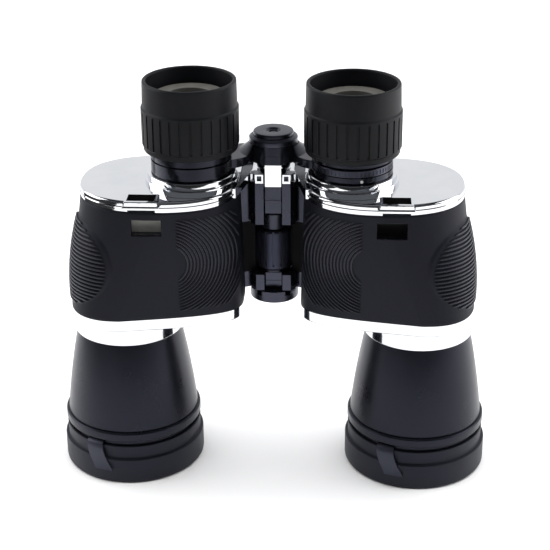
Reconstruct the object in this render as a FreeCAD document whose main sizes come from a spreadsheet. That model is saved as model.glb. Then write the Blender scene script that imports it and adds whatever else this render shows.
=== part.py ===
import FreeCAD, Part
import math
import operator
import os
import Sketcher

# Porro-prism binoculars standing on their capped objectives.
# Millimetres. +Z runs up along the optical axes, X from the left half to the right half, and -Y is
# the side that faces a person who looks at the tripod end. z = 0 is the floor under the caps.

SIZES = [
    # optical layout
    ("eye_x", 34.85, "eyepiece axis from the middle"),
    ("objective_x", 65.5, "objective axis from the middle"),
    ("hinge_y", 15.0, "hinge axis behind the plane of the optical axes"),
    ("slide_gap", 0.05, "radial clearance of a sliding or running fit"),
    # objective cap
    ("cap_floor", 2.0, "floor of the cap"),
    ("cap_tall", 18.7, "height of the cap"),
    ("cap_band_wall", 1.35, "wall at the cap's lip"),
    ("cap_band_taper", 0.4, "how much thinner that wall is at its foot"),
    ("cap_rim_tall", 12.2, "height of the cap's thicker rim"),
    ("cap_rim_wall", 2.55, "wall of the cap's thicker rim"),
    ("cap_edge", 1.6, "rounding of the cap's bottom edge"),
    ("floor_gap", 0.1, "gap between the barrel's end and the cap's floor"),
    ("tab_wide", 8.4, "width of the cap's pull tab"),
    ("tab_thick", 1.1, "thickness of the pull tab"),
    ("tab_long", 12.0, "length of the pull tab"),
    ("tab_rise", 1.6, "root of the pull tab over the cap's lip"),
    ("tab_off", 0.4, "how far the pull tab stands off the rim"),
    ("tab_turn", 24.0, "pull tab round from the front, in degrees"),
    ("tab_lean", 38.0, "lean of the pull tab, in degrees"),
    # objective barrel
    ("barrel_end_r", 29.6, "outside of the barrel's end, which the cap grips"),
    ("barrel_end_wall", 1.6, "wall of the barrel's end"),
    ("bead_gap", 2.2, "gap between the cap's lip and the bead"),
    ("bead_out", 1.6, "how far the bead stands over the barrel's end"),
    ("bead_tall", 4.3, "height of the bead"),
    ("bead_edge", 0.5, "bevels of the bead"),
    ("cone_out", 0.3, "how far the cone's foot stands over the barrel's end"),
    ("cone_tall", 40.1, "height of the cone"),
    ("cone_top_r", 23.5, "cone radius under the chrome neck"),
    ("cone_bulge_r", 360.0, "radius of the cone's slightly convex side"),
    ("spigot_step", 1.9, "step from the cone's top in to the spigot"),
    ("spigot_wall", 2.6, "wall of the spigot inside the base cover"),
    ("bore_mouth_deep", 8.0, "depth of the wide mouth of the barrel's bore"),
    ("lens_r", 25.4, "objective lens"),
    ("lens_deep", 15.5, "objective lens behind the barrel's end"),
    ("lens_seat", 1.4, "width of the shoulder that the lens sits on"),
    ("lens_edge", 6.0, "edge thickness of the objective lens"),
    ("lens_bulge", 3.0, "sagitta of the objective lens"),
    ("lens_ring_tall", 3.0, "height of the retaining ring"),
    ("lens_ring_wide", 1.6, "width of the retaining ring"),
    # base cover
    ("neck_gap", 0.4, "gap between the cone's top and the neck"),
    ("neck_out", 1.0, "how far the neck stands over the cone's top"),
    ("neck_straight", 2.5, "height of the neck's straight foot"),
    ("neck_flare_r", 6.5, "radius of the neck's flare"),
    ("base_tall", 5.3, "height of the base cover's side wall"),
    ("base_inset", 2.6, "how far the base cover's side leans in"),
    ("cover_wall", 1.8, "wall of the base cover"),
    # prism housing
    ("body_tall", 51.5, "height of the housing"),
    ("low_out", 24.5, "lower outline, from the objective axis outwards"),
    ("low_in", 22.15, "lower outline, from the eyepiece axis to the hinge side"),
    ("low_deep", 29.0, "half depth of the lower outline"),
    ("low_out_bend", 2.5, "roundness of the lower outline's outer end"),
    ("low_in_bend", 4.5, "squareness of the lower outline's inner end"),
    ("low_narrow", 0.33, "how much the lower outline narrows to the hinge side"),
    ("top_out", 18.0, "upper outline, from the objective axis outwards"),
    ("top_in", 20.85, "upper outline, from the eyepiece axis to the hinge side"),
    ("top_deep", 29.5, "half depth of the upper outline"),
    ("top_bend", 2.3, "roundness of the upper outline"),
    ("skin", 2.0, "thickness of the rubber armour"),
    ("body_wall", 1.6, "wall of the housing"),
    ("body_floor", 2.0, "floor of the housing"),
    ("shelf_up", 23.5, "prism shelf over the housing's underside"),
    ("shelf_thick", 3.0, "thickness of the prism shelf"),
    ("prism_wide", 13.0, "width of a prism, and of the light it carries"),
    ("clip_wide", 5.0, "width of a prism clip"),
    ("clip_thick", 0.8, "thickness of a prism clip"),
    # top cover
    ("cover_tall", 4.5, "height of the top cover"),
    ("cover_edge", 1.5, "rounding of the top cover's edge"),
    # strap slot
    ("slot_x", 53.7, "middle of the strap slot"),
    ("slot_wide", 14.6, "width of the strap slot"),
    ("slot_deep", 6.6, "depth of the strap slot from front to back"),
    ("slot_inset", 3.3, "strap slot behind the front of the upper outline"),
    ("bar_out", 2.9, "bar before the strap slot, in front of the upper outline"),
    ("slot_frame", 1.4, "width of the raised frame"),
    ("slot_frame_tall", 0.9, "height of the raised frame, over and under the cover"),
    ("window_shift", 1.9, "window under the strap slot, from the slot to the hinge side"),
    ("window_wide", 12.8, "width of the window"),
    ("window_tall", 7.4, "height of the window"),
    ("window_drop", 3.6, "top of the window under the housing's top"),
    ("channel_step", 1.4, "floor of the strap channel under the window"),
    ("strap_plate", 1.0, "thickness of the strap plate"),
    # eyepiece
    ("tube_r", 16.95, "eyepiece tube in its collar"),
    ("tube_wall", 2.45, "wall of the eyepiece tube"),
    ("tube_drop", 5.0, "eyepiece tube reaches down into the housing by this"),
    ("collar_sleeve", 1.4, "wall of the collar's sleeve in the cover"),
    ("collar_wall", 3.3, "wall of the collar's lower tier"),
    ("collar_step_wall", 2.3, "wall of the collar's upper tier"),
    ("collar_step", 1.9, "height of the lower tier"),
    ("collar_edge", 0.5, "bevels of collars and rings"),
    ("collar_tall", 4.3, "height of the whole collar"),
    ("arm_gap", 0.4, "gap between the collars and the bridge arms"),
    ("arm_tall", 4.0, "height of the bridge arms"),
    ("arm_eye_tall", 2.3, "height of the right arm's ring"),
    ("arm_ring_wall", 0.55, "wall of an arm's ring round the tube"),
    ("arm_ring_up", 1.4, "left arm's ring over the arm"),
    ("groove", 0.8, "height of the groove between ring and flange"),
    ("flange_tall", 3.4, "height of the flange under the eyecup"),
    ("sleeve_step", 0.55, "step from the tube in to the sleeve that carries the eyecup"),
    ("cup_high", 30.7, "height of the eyecup"),
    ("cup_thick", 3.95, "thickness of the eyecup's rubber over its sleeve"),
    ("cup_grip", 0.6, "how far the eyecup's ribbed band stands out"),
    ("cup_rim_in", 0.3, "how much narrower the eyecup's rim is"),
    ("cup_band", 2.4, "height of the plain band"),
    ("cup_step", 0.6, "slope beside the ribbed band"),
    ("cup_smooth", 11.3, "height of the smooth top of the eyecup"),
    ("cup_lip", 1.2, "lip that holds the eyecup on its sleeve"),
    ("cup_wall", 1.7, "wall at the eyecup's rim"),
    ("cup_hollow", 8.6, "depth of the eyecup's hollow"),
    ("face_ring_out", 1.0, "how far the lens ring's face reaches over the tube's wall"),
    ("face_ring_drop", 6.8, "lens ring below the eyecup's rim"),
    ("eye_lens_r", 8.3, "opening of the lens ring"),
    ("eye_lens_deep", 1.1, "seat of the eye lens under the eyecup's floor"),
    ("eye_lens_edge", 4.5, "edge thickness of the eye lens"),
    ("eye_lens_bulge", 1.6, "sagitta of the eye lens"),
    ("field_seat", 1.0, "width of the field lens's seat"),
    ("field_lens_bulge", 2.4, "sagitta of the field lens"),
    ("field_lens_drop", 0.8, "seat of the left field lens under the eyecup"),
    ("right_field_up", 2.5, "seat of the right field lens over that of the left one"),
    ("field_lens_thick", 5.0, "edge thickness of the field lens"),
    # dioptre adjustment
    ("dioptre_drop", 0.8, "the right ocular sits lower by this"),
    ("dioptre_neck_step", 2.45, "step from the tube in to the neck that the dioptre ring turns on"),
    ("dioptre_neck_wall", 1.45, "wall of that neck"),
    ("dioptre_ring_wall", 2.85, "wall of the dioptre ring"),
    ("dioptre_ring_tall", 3.3, "height of the dioptre ring"),
    ("dioptre_room", 0.9, "room for the right ocular to screw down"),
    ("dioptre_tube_up", 8.0, "the inner tube ends higher than the outer one by this"),
    # hinge
    ("spindle_r", 4.0, "focusing spindle"),
    ("hinge_tube_wall", 1.45, "wall of the hinge tube"),
    ("eye_wall", 2.0, "wall of the hinge eyes"),
    ("eye_flat", 6.6, "flat front of the hinge eyes, from their axis"),
    ("eye_gap", 0.3, "gap round the hinge eyes"),
    ("eye_clear", 0.2, "gap between stacked eyes"),
    ("shoulder_wide", 5.9, "width of a hinge shoulder"),
    ("shoulder_wall", 1.5, "wall of the hinge shoulders in front of that gap"),
    ("shoulder_corner", 2.2, "chamfered corners of the shoulders"),
    ("shoulder_half_gap", 4.1, "half the gap between the shoulders"),
    ("shoulder_tall", 19.4, "height of the upper shoulders"),
    ("web_front_x", 20.8, "front corner of the hinge webs"),
    ("web_back_x", 26.0, "how far the hinge webs reach into the housing"),
    ("web_back_y", 20.0, "back corner of the hinge webs"),
    ("arm_front_x", 15.0, "front corner of the cover's hinge arm, from the middle"),
    ("arm_front_y", 12.0, "front corner of the cover's hinge arm, forwards"),
    ("eye_stack_deep", 15.0, "underside of the upper pair of eyes under the housing's top"),
    ("eye_tall", 6.2, "height of each upper eye"),
    ("low_eye_tall", 3.7, "height of each lower eye"),
    ("washer_tall", 2.1, "height of the washer under the focus wheel"),
    ("wheel_wall", 3.05, "wall of the focus wheel"),
    ("wheel_tall", 18.1, "height of the focus wheel"),
    ("wheel_edge", 0.6, "bevels of the focus wheel"),
    ("wheel_rim", 1.6, "plain rim under the wheel's flutes"),
    ("flute_r", 0.55, "radius of the wheel's flutes"),
    ("flutes", 16, "number of flutes round the wheel"),
    ("spacer_wall", 1.3, "wall of the spacer over the focus wheel"),
    ("key_up", 6.7, "key that joins wheel and spindle, over the wheel's underside"),
    ("key_tall", 3.0, "height of that key"),
    ("key_thick", 2.0, "thickness of that key"),
    ("spindle_foot", 2.0, "foot of the spindle under its key"),
    ("focus_travel", 8.0, "how far the bridge rises in focusing"),
    ("end_disc_r", 9.6, "disc at the hinge's tripod end"),
    ("end_disc_tall", 4.5, "height of that disc"),
    ("disc_seat", 2.2, "thickness of the disc under the hinge tube"),
    ("disc_edge", 0.8, "bevels of the disc and rings on the hinge"),
    ("tripod_hole_r", 2.6, "tripod thread at its tapping size"),
    ("tripod_hole_deep", 6.5, "depth of the tripod thread"),
    # focusing bridge
    ("hub_gap", 1.6, "gap between the hinge collar and the hub"),
    ("hub_r", 10.8, "hub of the bridge arms"),
    ("hub_tall", 8.0, "height of the hub"),
    ("right_hub_tall", 3.9, "height of the right arm's share of the hub"),
    ("saddle_r", 16.0, "foot of the flare between hub and web"),
    ("saddle_edge", 0.4, "step under the top of that flare"),
    ("saddle_bend", 14.0, "radius of that flare"),
    ("web_front_angle", 34.0, "where the web's front edge leaves the hub, in degrees"),
    ("web_dip_angle", 43.0, "the hollow of that edge, round from the hub's side, in degrees"),
    ("web_dip_off", 7.8, "the hollow of that edge, from the hub"),
    ("cap_disc_r", 8.5, "bridge cap disc"),
    ("cap_disc_tall", 4.8, "height of the bridge cap disc"),
    ("dimple_r", 4.2, "dimple in the bridge cap"),
    ("dimple_deep", 1.4, "depth of that dimple"),
    ("screw_r", 1.9, "screw in the dimple"),
    ("screw_dome", 0.7, "dome of the screw's head"),
]

doc = FreeCAD.newDocument("binoculars")
sheet = doc.addObject("Spreadsheet::Sheet", "sizes")
for row, (alias, value, note) in enumerate(SIZES, start=1):
    sheet.set(f"A{row}", note)
    sheet.set(f"B{row}", str(value))
    sheet.setAlias(f"B{row}", alias)
doc.recompute()


class Size:
    """A length: its value now, and the expression that ties it to the sheet."""

    def __init__(self, value, text):
        self.value = float(value)
        self.text = text

    def with_sign(self, other, sign, work):
        if not isinstance(other, Size):
            other = Size(other, str(other))
        return Size(work(self.value, other.value), f"({self.text} {sign} {other.text})")

    def __add__(self, other):
        return self.with_sign(other, "+", operator.add)

    def __sub__(self, other):
        return self.with_sign(other, "-", operator.sub)

    def __mul__(self, other):
        return self.with_sign(other, "*", operator.mul)

    def __truediv__(self, other):
        return self.with_sign(other, "/", operator.truediv)

    def __neg__(self):
        return self * -1

    def __float__(self):
        return self.value


class Sheet:
    """The sheet's cells by name: s.lens_r is the Size in the cell lens_r."""

    def __getattr__(self, alias):
        return Size(sheet.get(alias), f"sizes.{alias}")


s = Sheet()
NODES = {}


def keep(node, thing):
    """Name a finished object as the sub-part of that name."""
    thing.Label = node
    NODES[node] = thing
    return thing


def place(thing, x=0, y=0, z=0):
    for axis, size in zip("xyz", (x, y, z)):
        text = size.text if isinstance(size, Size) else str(size)
        thing.setExpression(f"Placement.Base.{axis}", text)


def own_plane(body, role):
    return next(plane for plane in body.Origin.OriginFeatures if plane.Role == role)


def measured(sketch, kind, *places):
    """A dimension in a sketch, tied to the sheet. The last of places is its Size or number."""
    size = places[-1]
    index = sketch.addConstraint(Sketcher.Constraint(kind, *places[:-1], float(size)))
    if isinstance(size, Size):
        sketch.setExpression(f"Constraints[{index}]", size.text)


def profile_sketch(body, points, plane="XZ_Plane"):
    """A closed profile. A point is (across, up), or (across, up, radius) where the edge that leaves
    it is an arc: it bulges to the right of its direction, or to the left for a minus radius. A
    sketch runs its arcs anticlockwise, so one that bulges to the left starts at its second end."""
    sketch = body.newObject("Sketcher::SketchObject", f"{body.Name}_profile")
    sketch.AttachmentSupport = [(own_plane(body, plane), "")]
    sketch.MapMode = "FlatFace"
    spots = [FreeCAD.Vector(float(point[0]), float(point[1]), 0) for point in points]
    first = []
    for i, point in enumerate(points):
        start = spots[i]
        end = spots[(i + 1) % len(spots)]
        edge = Part.LineSegment(start, end)
        if len(point) == 3:
            radius = float(point[2])
            chord = end - start
            bulge = abs(radius) - math.sqrt(radius**2 - chord.Length**2 / 4)
            right = FreeCAD.Vector(chord.y, -chord.x, 0).normalize()
            middle = (start + end) / 2 + right * math.copysign(bulge, radius)
            edge = Part.Arc(start, middle, end)
        sketch.addGeometry(edge, False)
        first.append(2 if len(point) == 3 and float(point[2]) < 0 else 1)
    for i, point in enumerate(points):
        following = (i + 1) % len(points)
        sketch.addConstraint(
            Sketcher.Constraint("Coincident", i, 3 - first[i], following, first[following])
        )
        for kind, size, axis in (("DistanceX", point[0], -2), ("DistanceY", point[1], -1)):
            if float(size) == 0:
                sketch.addConstraint(Sketcher.Constraint("PointOnObject", i, first[i], axis))
            else:
                measured(sketch, kind, -1, 1, i, first[i], size)
        if len(point) == 3:
            size = point[2] if float(point[2]) > 0 else point[2] * -1
            measured(sketch, "Radius", i, size)
    sketch.Visibility = False
    return sketch


def turned(name, points, x=0, y=0, z=0):
    """A body turned about its own vertical axis, which stands at x, y."""
    body = doc.addObject("PartDesign::Body", name)
    turn = body.newObject("PartDesign::Revolution", f"{name}_turn")
    sketch = profile_sketch(body, points)
    turn.Profile = sketch
    turn.ReferenceAxis = (sketch, ["V_Axis"])
    turn.Angle = 360
    place(body, x, y, z)
    return body


def fluted(body, radius, flute_r, low, top, count):
    """Cuts round flutes into the side of a turned body, from low to top, all round."""
    sketch = body.newObject("Sketcher::SketchObject", f"{body.Name}_flute")
    sketch.AttachmentSupport = [(own_plane(body, "XY_Plane"), "")]
    sketch.MapMode = "FlatFace"
    sketch.setExpression("AttachmentOffset.Base.z", low.text)
    centre = point(radius, 0)
    circle = sketch.addGeometry(Part.Circle(centre, point(0, 0, 1), float(flute_r)), False)
    sketch.addConstraint(Sketcher.Constraint("PointOnObject", circle, 3, -1))
    measured(sketch, "DistanceX", -1, 1, circle, 3, radius)
    measured(sketch, "Radius", circle, flute_r)
    sketch.Visibility = False
    flute = body.newObject("PartDesign::Pocket", f"{body.Name}_flute_cut")
    flute.Profile = sketch
    flute.Reversed = True
    flute.setExpression("Length", (top - low).text)
    ring = body.newObject("PartDesign::PolarPattern", f"{body.Name}_flutes")
    ring.Originals = [flute]
    ring.Axis = (sketch, ["N_Axis"])
    ring.Angle = 360
    ring.setExpression("Occurrences", count.text)
    body.Tip = ring


def cylinder(name, radius, low, top, x=0, y=0):
    thing = doc.addObject("Part::Cylinder", name)
    for prop, size in (("Radius", radius), ("Height", top - low)):
        thing.setExpression(prop, size.text)
    place(thing, x, y, low)
    return thing


def box(name, x, y, z):
    """A box, each direction as its pair of low and high."""
    thing = doc.addObject("Part::Box", name)
    for prop, (low, high) in (("Length", x), ("Width", y), ("Height", z)):
        thing.setExpression(prop, (high - low).text)
    place(thing, x[0], y[0], z[0])
    return thing


def fuse(name, *things):
    thing = doc.addObject("Part::MultiFuse", name)
    thing.Shapes = list(things)
    thing.Refine = True
    return thing


def cut(name, base, *tools):
    thing = doc.addObject("Part::Cut", name)
    thing.Base = base
    thing.Tool = tools[0] if len(tools) == 1 else fuse(f"{name}_tools", *tools)
    thing.Refine = True
    return thing


def common(name, *things):
    thing = doc.addObject("Part::MultiCommon", name)
    thing.Shapes = list(things)
    thing.Refine = True
    return thing


def shaped(name, shape):
    thing = doc.addObject("Part::Feature", name)
    thing.Shape = shape
    return thing


def mirrored(name, source):
    thing = doc.addObject("Part::Mirroring", name)
    thing.Source = source
    thing.Base = (0, 0, 0)
    thing.Normal = (1, 0, 0)
    return thing


def pair(name, thing):
    """Keep a piece of the left half, and its mirror image in the right half."""
    keep(f"left_{name}", thing)
    keep(f"right_{name}", mirrored(f"right_{name}", thing))


def cap_radius(half_width, rise):
    """Radius of the arc that rises by rise over half_width."""
    return (half_width * half_width + rise * rise) / (rise * 2)


def point(x, y, z=0):
    return FreeCAD.Vector(float(x), float(y), float(z))


def prism(corners, low, top):
    """An upright solid on a plan of straight edges."""
    flat = [point(x, y, low) for x, y in corners]
    face = Part.Face(Part.makePolygon(flat + flat[:1]))
    return face.extrude(point(0, 0, top - low))


eye_x = -s.eye_x
objective_x = -s.objective_x

# ---------------------------------------------------------------------------------------------
# Heights, from the floor under the caps up to the eyecups
# ---------------------------------------------------------------------------------------------
barrel_end_z = s.cap_floor + s.floor_gap
bead_z = s.cap_tall + s.bead_gap
bead_top_z = bead_z + s.bead_tall
cone_z = bead_top_z + s.bead_edge
cone_top_z = cone_z + s.cone_tall
neck_low_z = cone_top_z + s.neck_gap
base_low_z = neck_low_z + s.neck_straight + s.neck_flare_r
body_low_z = base_low_z + s.base_tall
body_top_z = body_low_z + s.body_tall
cover_top_z = body_top_z + s.cover_tall
collar_top_z = cover_top_z + s.collar_tall
arm_low_z = collar_top_z + s.arm_gap
arm_top_z = arm_low_z + s.arm_tall
groove_z = arm_top_z + s.arm_ring_up
flange_z = groove_z + s.groove
cup_low_z = flange_z + s.flange_tall

# Radii that follow from one another
cap_bore_r = s.barrel_end_r + s.slide_gap
spigot_r = s.cone_top_r - s.spigot_step
neck_r = s.cone_top_r + s.neck_out
tube_bore_r = s.tube_r - s.tube_wall
cup_sleeve_r = s.tube_r - s.sleeve_step
arm_ring_r = s.tube_r + s.arm_ring_wall
hinge_tube_r = s.spindle_r + s.slide_gap + s.hinge_tube_wall
eye_r = hinge_tube_r + s.eye_wall
shoulder_deep = eye_r + s.eye_gap + s.shoulder_wall

# ---------------------------------------------------------------------------------------------
# Objective barrel: beaded end inside the cap, slightly convex cone, spigot up into the housing
# ---------------------------------------------------------------------------------------------
bead_r = s.barrel_end_r + s.bead_out
bore_mouth_r = s.barrel_end_r - s.barrel_end_wall
bore_top_r = spigot_r - s.spigot_wall
lens_z = barrel_end_z + s.lens_deep
lens_top_z = lens_z + s.lens_edge
lens_seat_r = s.lens_r - s.lens_seat
barrel = turned(
    "objective_barrel",
    [
        (bore_mouth_r, barrel_end_z),
        (s.barrel_end_r, barrel_end_z),
        (s.barrel_end_r, bead_z),
        (bead_r - s.bead_edge, bead_z),
        (bead_r, bead_z + s.bead_edge),
        (bead_r, bead_top_z - s.bead_edge),
        (bead_r - s.bead_edge, bead_top_z),
        (s.barrel_end_r, bead_top_z),
        (s.barrel_end_r + s.cone_out, cone_z, s.cone_bulge_r),
        (s.cone_top_r, cone_top_z),
        (spigot_r, cone_top_z),
        (spigot_r, body_low_z),
        (bore_top_r, body_low_z),
        (bore_top_r, cone_top_z),
        (lens_seat_r, lens_top_z),
        (s.lens_r + s.slide_gap, lens_top_z),
        (s.lens_r + s.slide_gap, barrel_end_z + s.bore_mouth_deep),
        (bore_mouth_r, barrel_end_z + s.bore_mouth_deep),
    ],
    x=objective_x,
)
pair("objective_barrel", barrel)

# The lens has a flat edge all round, for its seat above and its retaining ring below.
ring_inner_r = s.lens_r - s.lens_ring_wide
pair(
    "objective_lens",
    turned(
        "objective_lens",
        [
            (0, lens_z - s.lens_bulge, cap_radius(ring_inner_r, s.lens_bulge)),
            (ring_inner_r, lens_z),
            (s.lens_r, lens_z),
            (s.lens_r, lens_top_z),
            (lens_seat_r, lens_top_z, cap_radius(lens_seat_r, s.lens_bulge)),
            (0, lens_top_z + s.lens_bulge),
        ],
        x=objective_x,
    ),
)
pair(
    "lens_ring",
    turned(
        "lens_ring",
        [
            (ring_inner_r, lens_z - s.lens_ring_tall),
            (s.lens_r, lens_z - s.lens_ring_tall),
            (s.lens_r, lens_z),
            (ring_inner_r, lens_z),
        ],
        x=objective_x,
    ),
)

# ---------------------------------------------------------------------------------------------
# Objective caps: a rubber cup with a thicker rim and a pull tab that hangs from its lip
# ---------------------------------------------------------------------------------------------
cap_band_r = cap_bore_r + s.cap_band_wall
cap_rim_r = cap_bore_r + s.cap_rim_wall
for side, x in (("left", objective_x), ("right", s.objective_x)):
    cup = turned(
        f"{side}_cap_cup",
        [
            (0, 0),
            (cap_rim_r - s.cap_edge, 0, s.cap_edge),
            (cap_rim_r, s.cap_edge),
            (cap_rim_r, s.cap_rim_tall - s.bead_edge),
            (cap_rim_r - s.bead_edge, s.cap_rim_tall),
            (cap_band_r - s.cap_band_taper, s.cap_rim_tall),
            (cap_band_r, s.cap_tall - s.bead_edge),
            (cap_band_r - s.bead_edge, s.cap_tall),
            (cap_bore_r, s.cap_tall),
            (cap_bore_r, s.cap_floor),
            (0, s.cap_floor),
        ],
        x=x,
    )
    # The tab is the slanted strip of a ring that leaves the lip and hangs over the rim.
    tab_r = cap_rim_r + s.tab_off
    tab_bend_z = s.cap_rim_tall + s.tab_thick
    tab_ring = turned(
        f"{side}_tab_ring",
        [
            (cap_bore_r, s.cap_tall - s.bead_edge),
            (cap_band_r, s.cap_tall - s.bead_edge),
            (tab_r, tab_bend_z),
            (tab_r, s.cap_edge),
            (tab_r + s.tab_thick, s.cap_edge),
            (tab_r + s.tab_thick, tab_bend_z),
            (cap_band_r + s.tab_thick, s.cap_tall + s.tab_rise),
            (cap_bore_r, s.cap_tall + s.tab_rise),
        ],
        x=x,
    )
    strip = doc.addObject("PartDesign::Body", f"{side}_tab_strip")
    strip_pad = strip.newObject("PartDesign::Pad", f"{side}_tab_strip_pad")
    near_r = cap_bore_r - s.cap_rim_wall
    far_r = cap_rim_r + s.tab_long
    strip_pad.Profile = profile_sketch(
        strip,
        [
            (near_r, -s.tab_long),
            (far_r, -s.tab_long),
            (far_r, s.tab_long),
            (near_r, s.tab_long),
        ],
    )
    strip_pad.setExpression("Length", "sizes.tab_wide")
    strip_pad.SideType = "Symmetric"
    strip.Placement.Rotation = FreeCAD.Rotation(
        FreeCAD.Vector(0, 0, 1), -90 - float(s.tab_turn)
    ) * FreeCAD.Rotation(FreeCAD.Vector(1, 0, 0), float(s.tab_lean))
    place(strip, x, 0, s.cap_tall)
    tab = common(f"{side}_tab", tab_ring, strip)
    hollow = cylinder(f"{side}_cap_hollow", cap_bore_r, s.cap_floor, bead_top_z, x)
    keep(f"{side}_objective_cap", cut(f"{side}_cap", fuse(f"{side}_cap_whole", cup, tab), hollow))

# ---------------------------------------------------------------------------------------------
# Prism housing. Its plan is an oval of two different ends, which changes from the lower outline
# to the upper one. The rubber armour is the outer skin of the same form.
# ---------------------------------------------------------------------------------------------
OUTLINE_POINTS = 36
LOW_END_X = (s.objective_x + s.low_out, s.eye_x - s.low_in)
TOP_END_X = (s.objective_x + s.top_out, s.eye_x - s.top_in)
LOW_MIDDLE_X = s.objective_x
TOP_MIDDLE_X = (TOP_END_X[0] + TOP_END_X[1]) / 2
LOWER = (LOW_MIDDLE_X, *LOW_END_X, s.low_deep, s.low_out_bend, s.low_in_bend, s.low_narrow)
UPPER = (TOP_MIDDLE_X, *TOP_END_X, s.top_deep, s.top_bend, s.top_bend, 0)


def eased(value, power):
    return math.copysign(abs(value) ** (2 / power), value)


def outline(z, shrink):
    """The plan of the left housing at height z, made smaller all round by shrink."""
    level = (z - float(body_low_z)) / float(body_top_z - body_low_z)
    level = max(level, 0)
    mixed = [float(low) * (1 - level) + float(top) * level for low, top in zip(LOWER, UPPER)]
    middle, out_x, inner_x, deep, out_bend, in_bend, narrow = mixed
    points = []
    for i in range(OUTLINE_POINTS):
        angle = 2 * math.pi * i / OUTLINE_POINTS
        outwards = math.cos(angle) > 0
        along = eased(math.cos(angle), out_bend if outwards else in_bend)
        across = eased(math.sin(angle), out_bend if outwards else in_bend)
        reach = (out_x - middle if outwards else middle - inner_x) - shrink
        depth = (deep - shrink) * (1 + min(along, 0) * narrow)
        points.append(FreeCAD.Vector(-middle - reach * along, depth * across, z))
    curve = Part.BSplineCurve()
    curve.interpolate(points, PeriodicFlag=True)
    return Part.Wire(curve.toShape())


def oval(*levels):
    """The housing's form through levels of (height, shrink)."""
    wires = [outline(float(z), float(shrink)) for z, shrink in levels]
    return Part.makeLoft(wires, True, True)


shell_shrink = s.skin + s.slide_gap
hollow_shrink = shell_shrink + s.body_wall
shelf_z = body_low_z + s.shelf_up
shelf_top_z = shelf_z + s.shelf_thick
hollow_low_z = body_low_z + s.body_floor

shell = shaped("shell", oval((body_low_z, shell_shrink), (body_top_z, shell_shrink)))
# Both hollows have the slope of the whole side, so that the walls keep one thickness.
hollow = shaped("hollow", oval((body_low_z, hollow_shrink), (body_top_z, hollow_shrink)))
low_slice = box(
    "low_slice",
    (-LOW_END_X[0], -s.shoulder_half_gap),
    (-(s.low_deep + s.skin), s.low_deep + s.skin),
    (hollow_low_z, shelf_z),
)
top_slice = box(
    "top_slice",
    (-LOW_END_X[0], -s.shoulder_half_gap),
    (-(s.low_deep + s.skin), s.low_deep + s.skin),
    (shelf_top_z, body_top_z + s.cover_tall),
)
low_hollow = common("low_hollow", hollow, low_slice)
top_hollow = common("top_hollow", hollow, top_slice)

# Channel for the neck strap: down through the slot, and out of the window in the front.
slot_front_y = s.top_deep - s.slot_inset
window_x = s.slot_x - s.window_shift
window_z = body_top_z - s.window_drop - s.window_tall
channel_z = window_z - s.channel_step
channel_x = (-(s.slot_x + s.slot_wide / 2), -(window_x - s.window_wide / 2))
channel_y = (-slot_front_y, -slot_front_y + s.slot_deep)
channel_wall = box(
    "channel_wall",
    (channel_x[0] - s.body_wall, channel_x[1] + s.body_wall),
    (-(s.top_deep - s.skin - s.body_wall), channel_y[1] + s.body_wall),
    (channel_z - s.body_wall, body_top_z),
)
channel = box(
    "channel",
    channel_x,
    channel_y,
    (channel_z, body_top_z + s.cover_tall),
)
window = box(
    "window",
    (-(window_x + s.window_wide / 2), -(window_x - s.window_wide / 2)),
    (-(s.low_deep + s.skin), channel_y[1] - s.strap_plate),
    (window_z, window_z + s.window_tall),
)

# Light ports: the barrel's below, the eyepiece's above, and the one where the prisms meet.
meet_x = -(s.eye_x + s.objective_x) / 2
meet_y = (s.objective_x - s.eye_x) / 2
port_r = s.prism_wide / 2
ports = [
    cylinder("port_front", port_r, shelf_z, shelf_top_z, objective_x),
    cylinder("port_meet", port_r, shelf_z, shelf_top_z, meet_x, meet_y),
    cylinder("port_eye", port_r, shelf_z, shelf_top_z, eye_x),
    cylinder("port_barrel", bore_top_r, body_low_z, hollow_low_z, objective_x),
]

# Shoulders beside the hinge, in front of and behind the gap that lets the halves fold.
hinge_left_x = -s.shoulder_half_gap
shoulder_low_z = body_top_z - s.shoulder_tall
eye_stack_z = body_top_z - s.eye_stack_deep


def shoulder(name, low, top, front_x, front_y):
    """A flat-fronted pillar beside the hinge, with a web back to the housing's inner end."""
    outer_x = hinge_left_x - s.shoulder_wide
    front = s.hinge_y - shoulder_deep
    back = s.hinge_y + shoulder_deep
    corners = [
        (hinge_left_x, front),
        (hinge_left_x, back),
        (outer_x + s.shoulder_corner, back),
        (-s.web_back_x, s.web_back_y),
        (-s.web_back_x, front_y),
        (front_x, front_y),
        (outer_x, front + s.shoulder_corner * 2),
        (outer_x, front + s.shoulder_corner),
        (outer_x + s.shoulder_corner, front),
    ]
    return shaped(name, prism(corners, low, top))


low_eyes_top_z = body_low_z + s.low_eye_tall * 2 + s.eye_clear
web_x = -s.web_front_x
web_y = s.hinge_y - shoulder_deep
top_shoulder = shoulder("top_shoulder", shoulder_low_z, body_top_z, web_x, web_y)
low_shoulder = shoulder("low_shoulder", body_low_z, low_eyes_top_z, web_x, web_y)

housing_solid = fuse("housing_solid", shell, top_shoulder, low_shoulder)
housing_open = cut("housing_open", housing_solid, low_hollow, top_hollow, *ports)
housing_channel = fuse(
    "housing_channel",
    housing_open,
    common("channel_body", channel_wall, shaped("channel_limit", shell.Shape)),
)
housing = cut("housing_left", housing_channel, channel, window)

# Hinge eyes. Beside the other half's eye a shoulder is cut back round the axis.
low_eye_z = {"right": body_low_z, "left": body_low_z + s.low_eye_tall + s.eye_clear}
top_eye_z = {"right": eye_stack_z, "left": eye_stack_z + s.eye_tall + s.eye_clear}
eye_cut_r = eye_r + s.eye_gap


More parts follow.
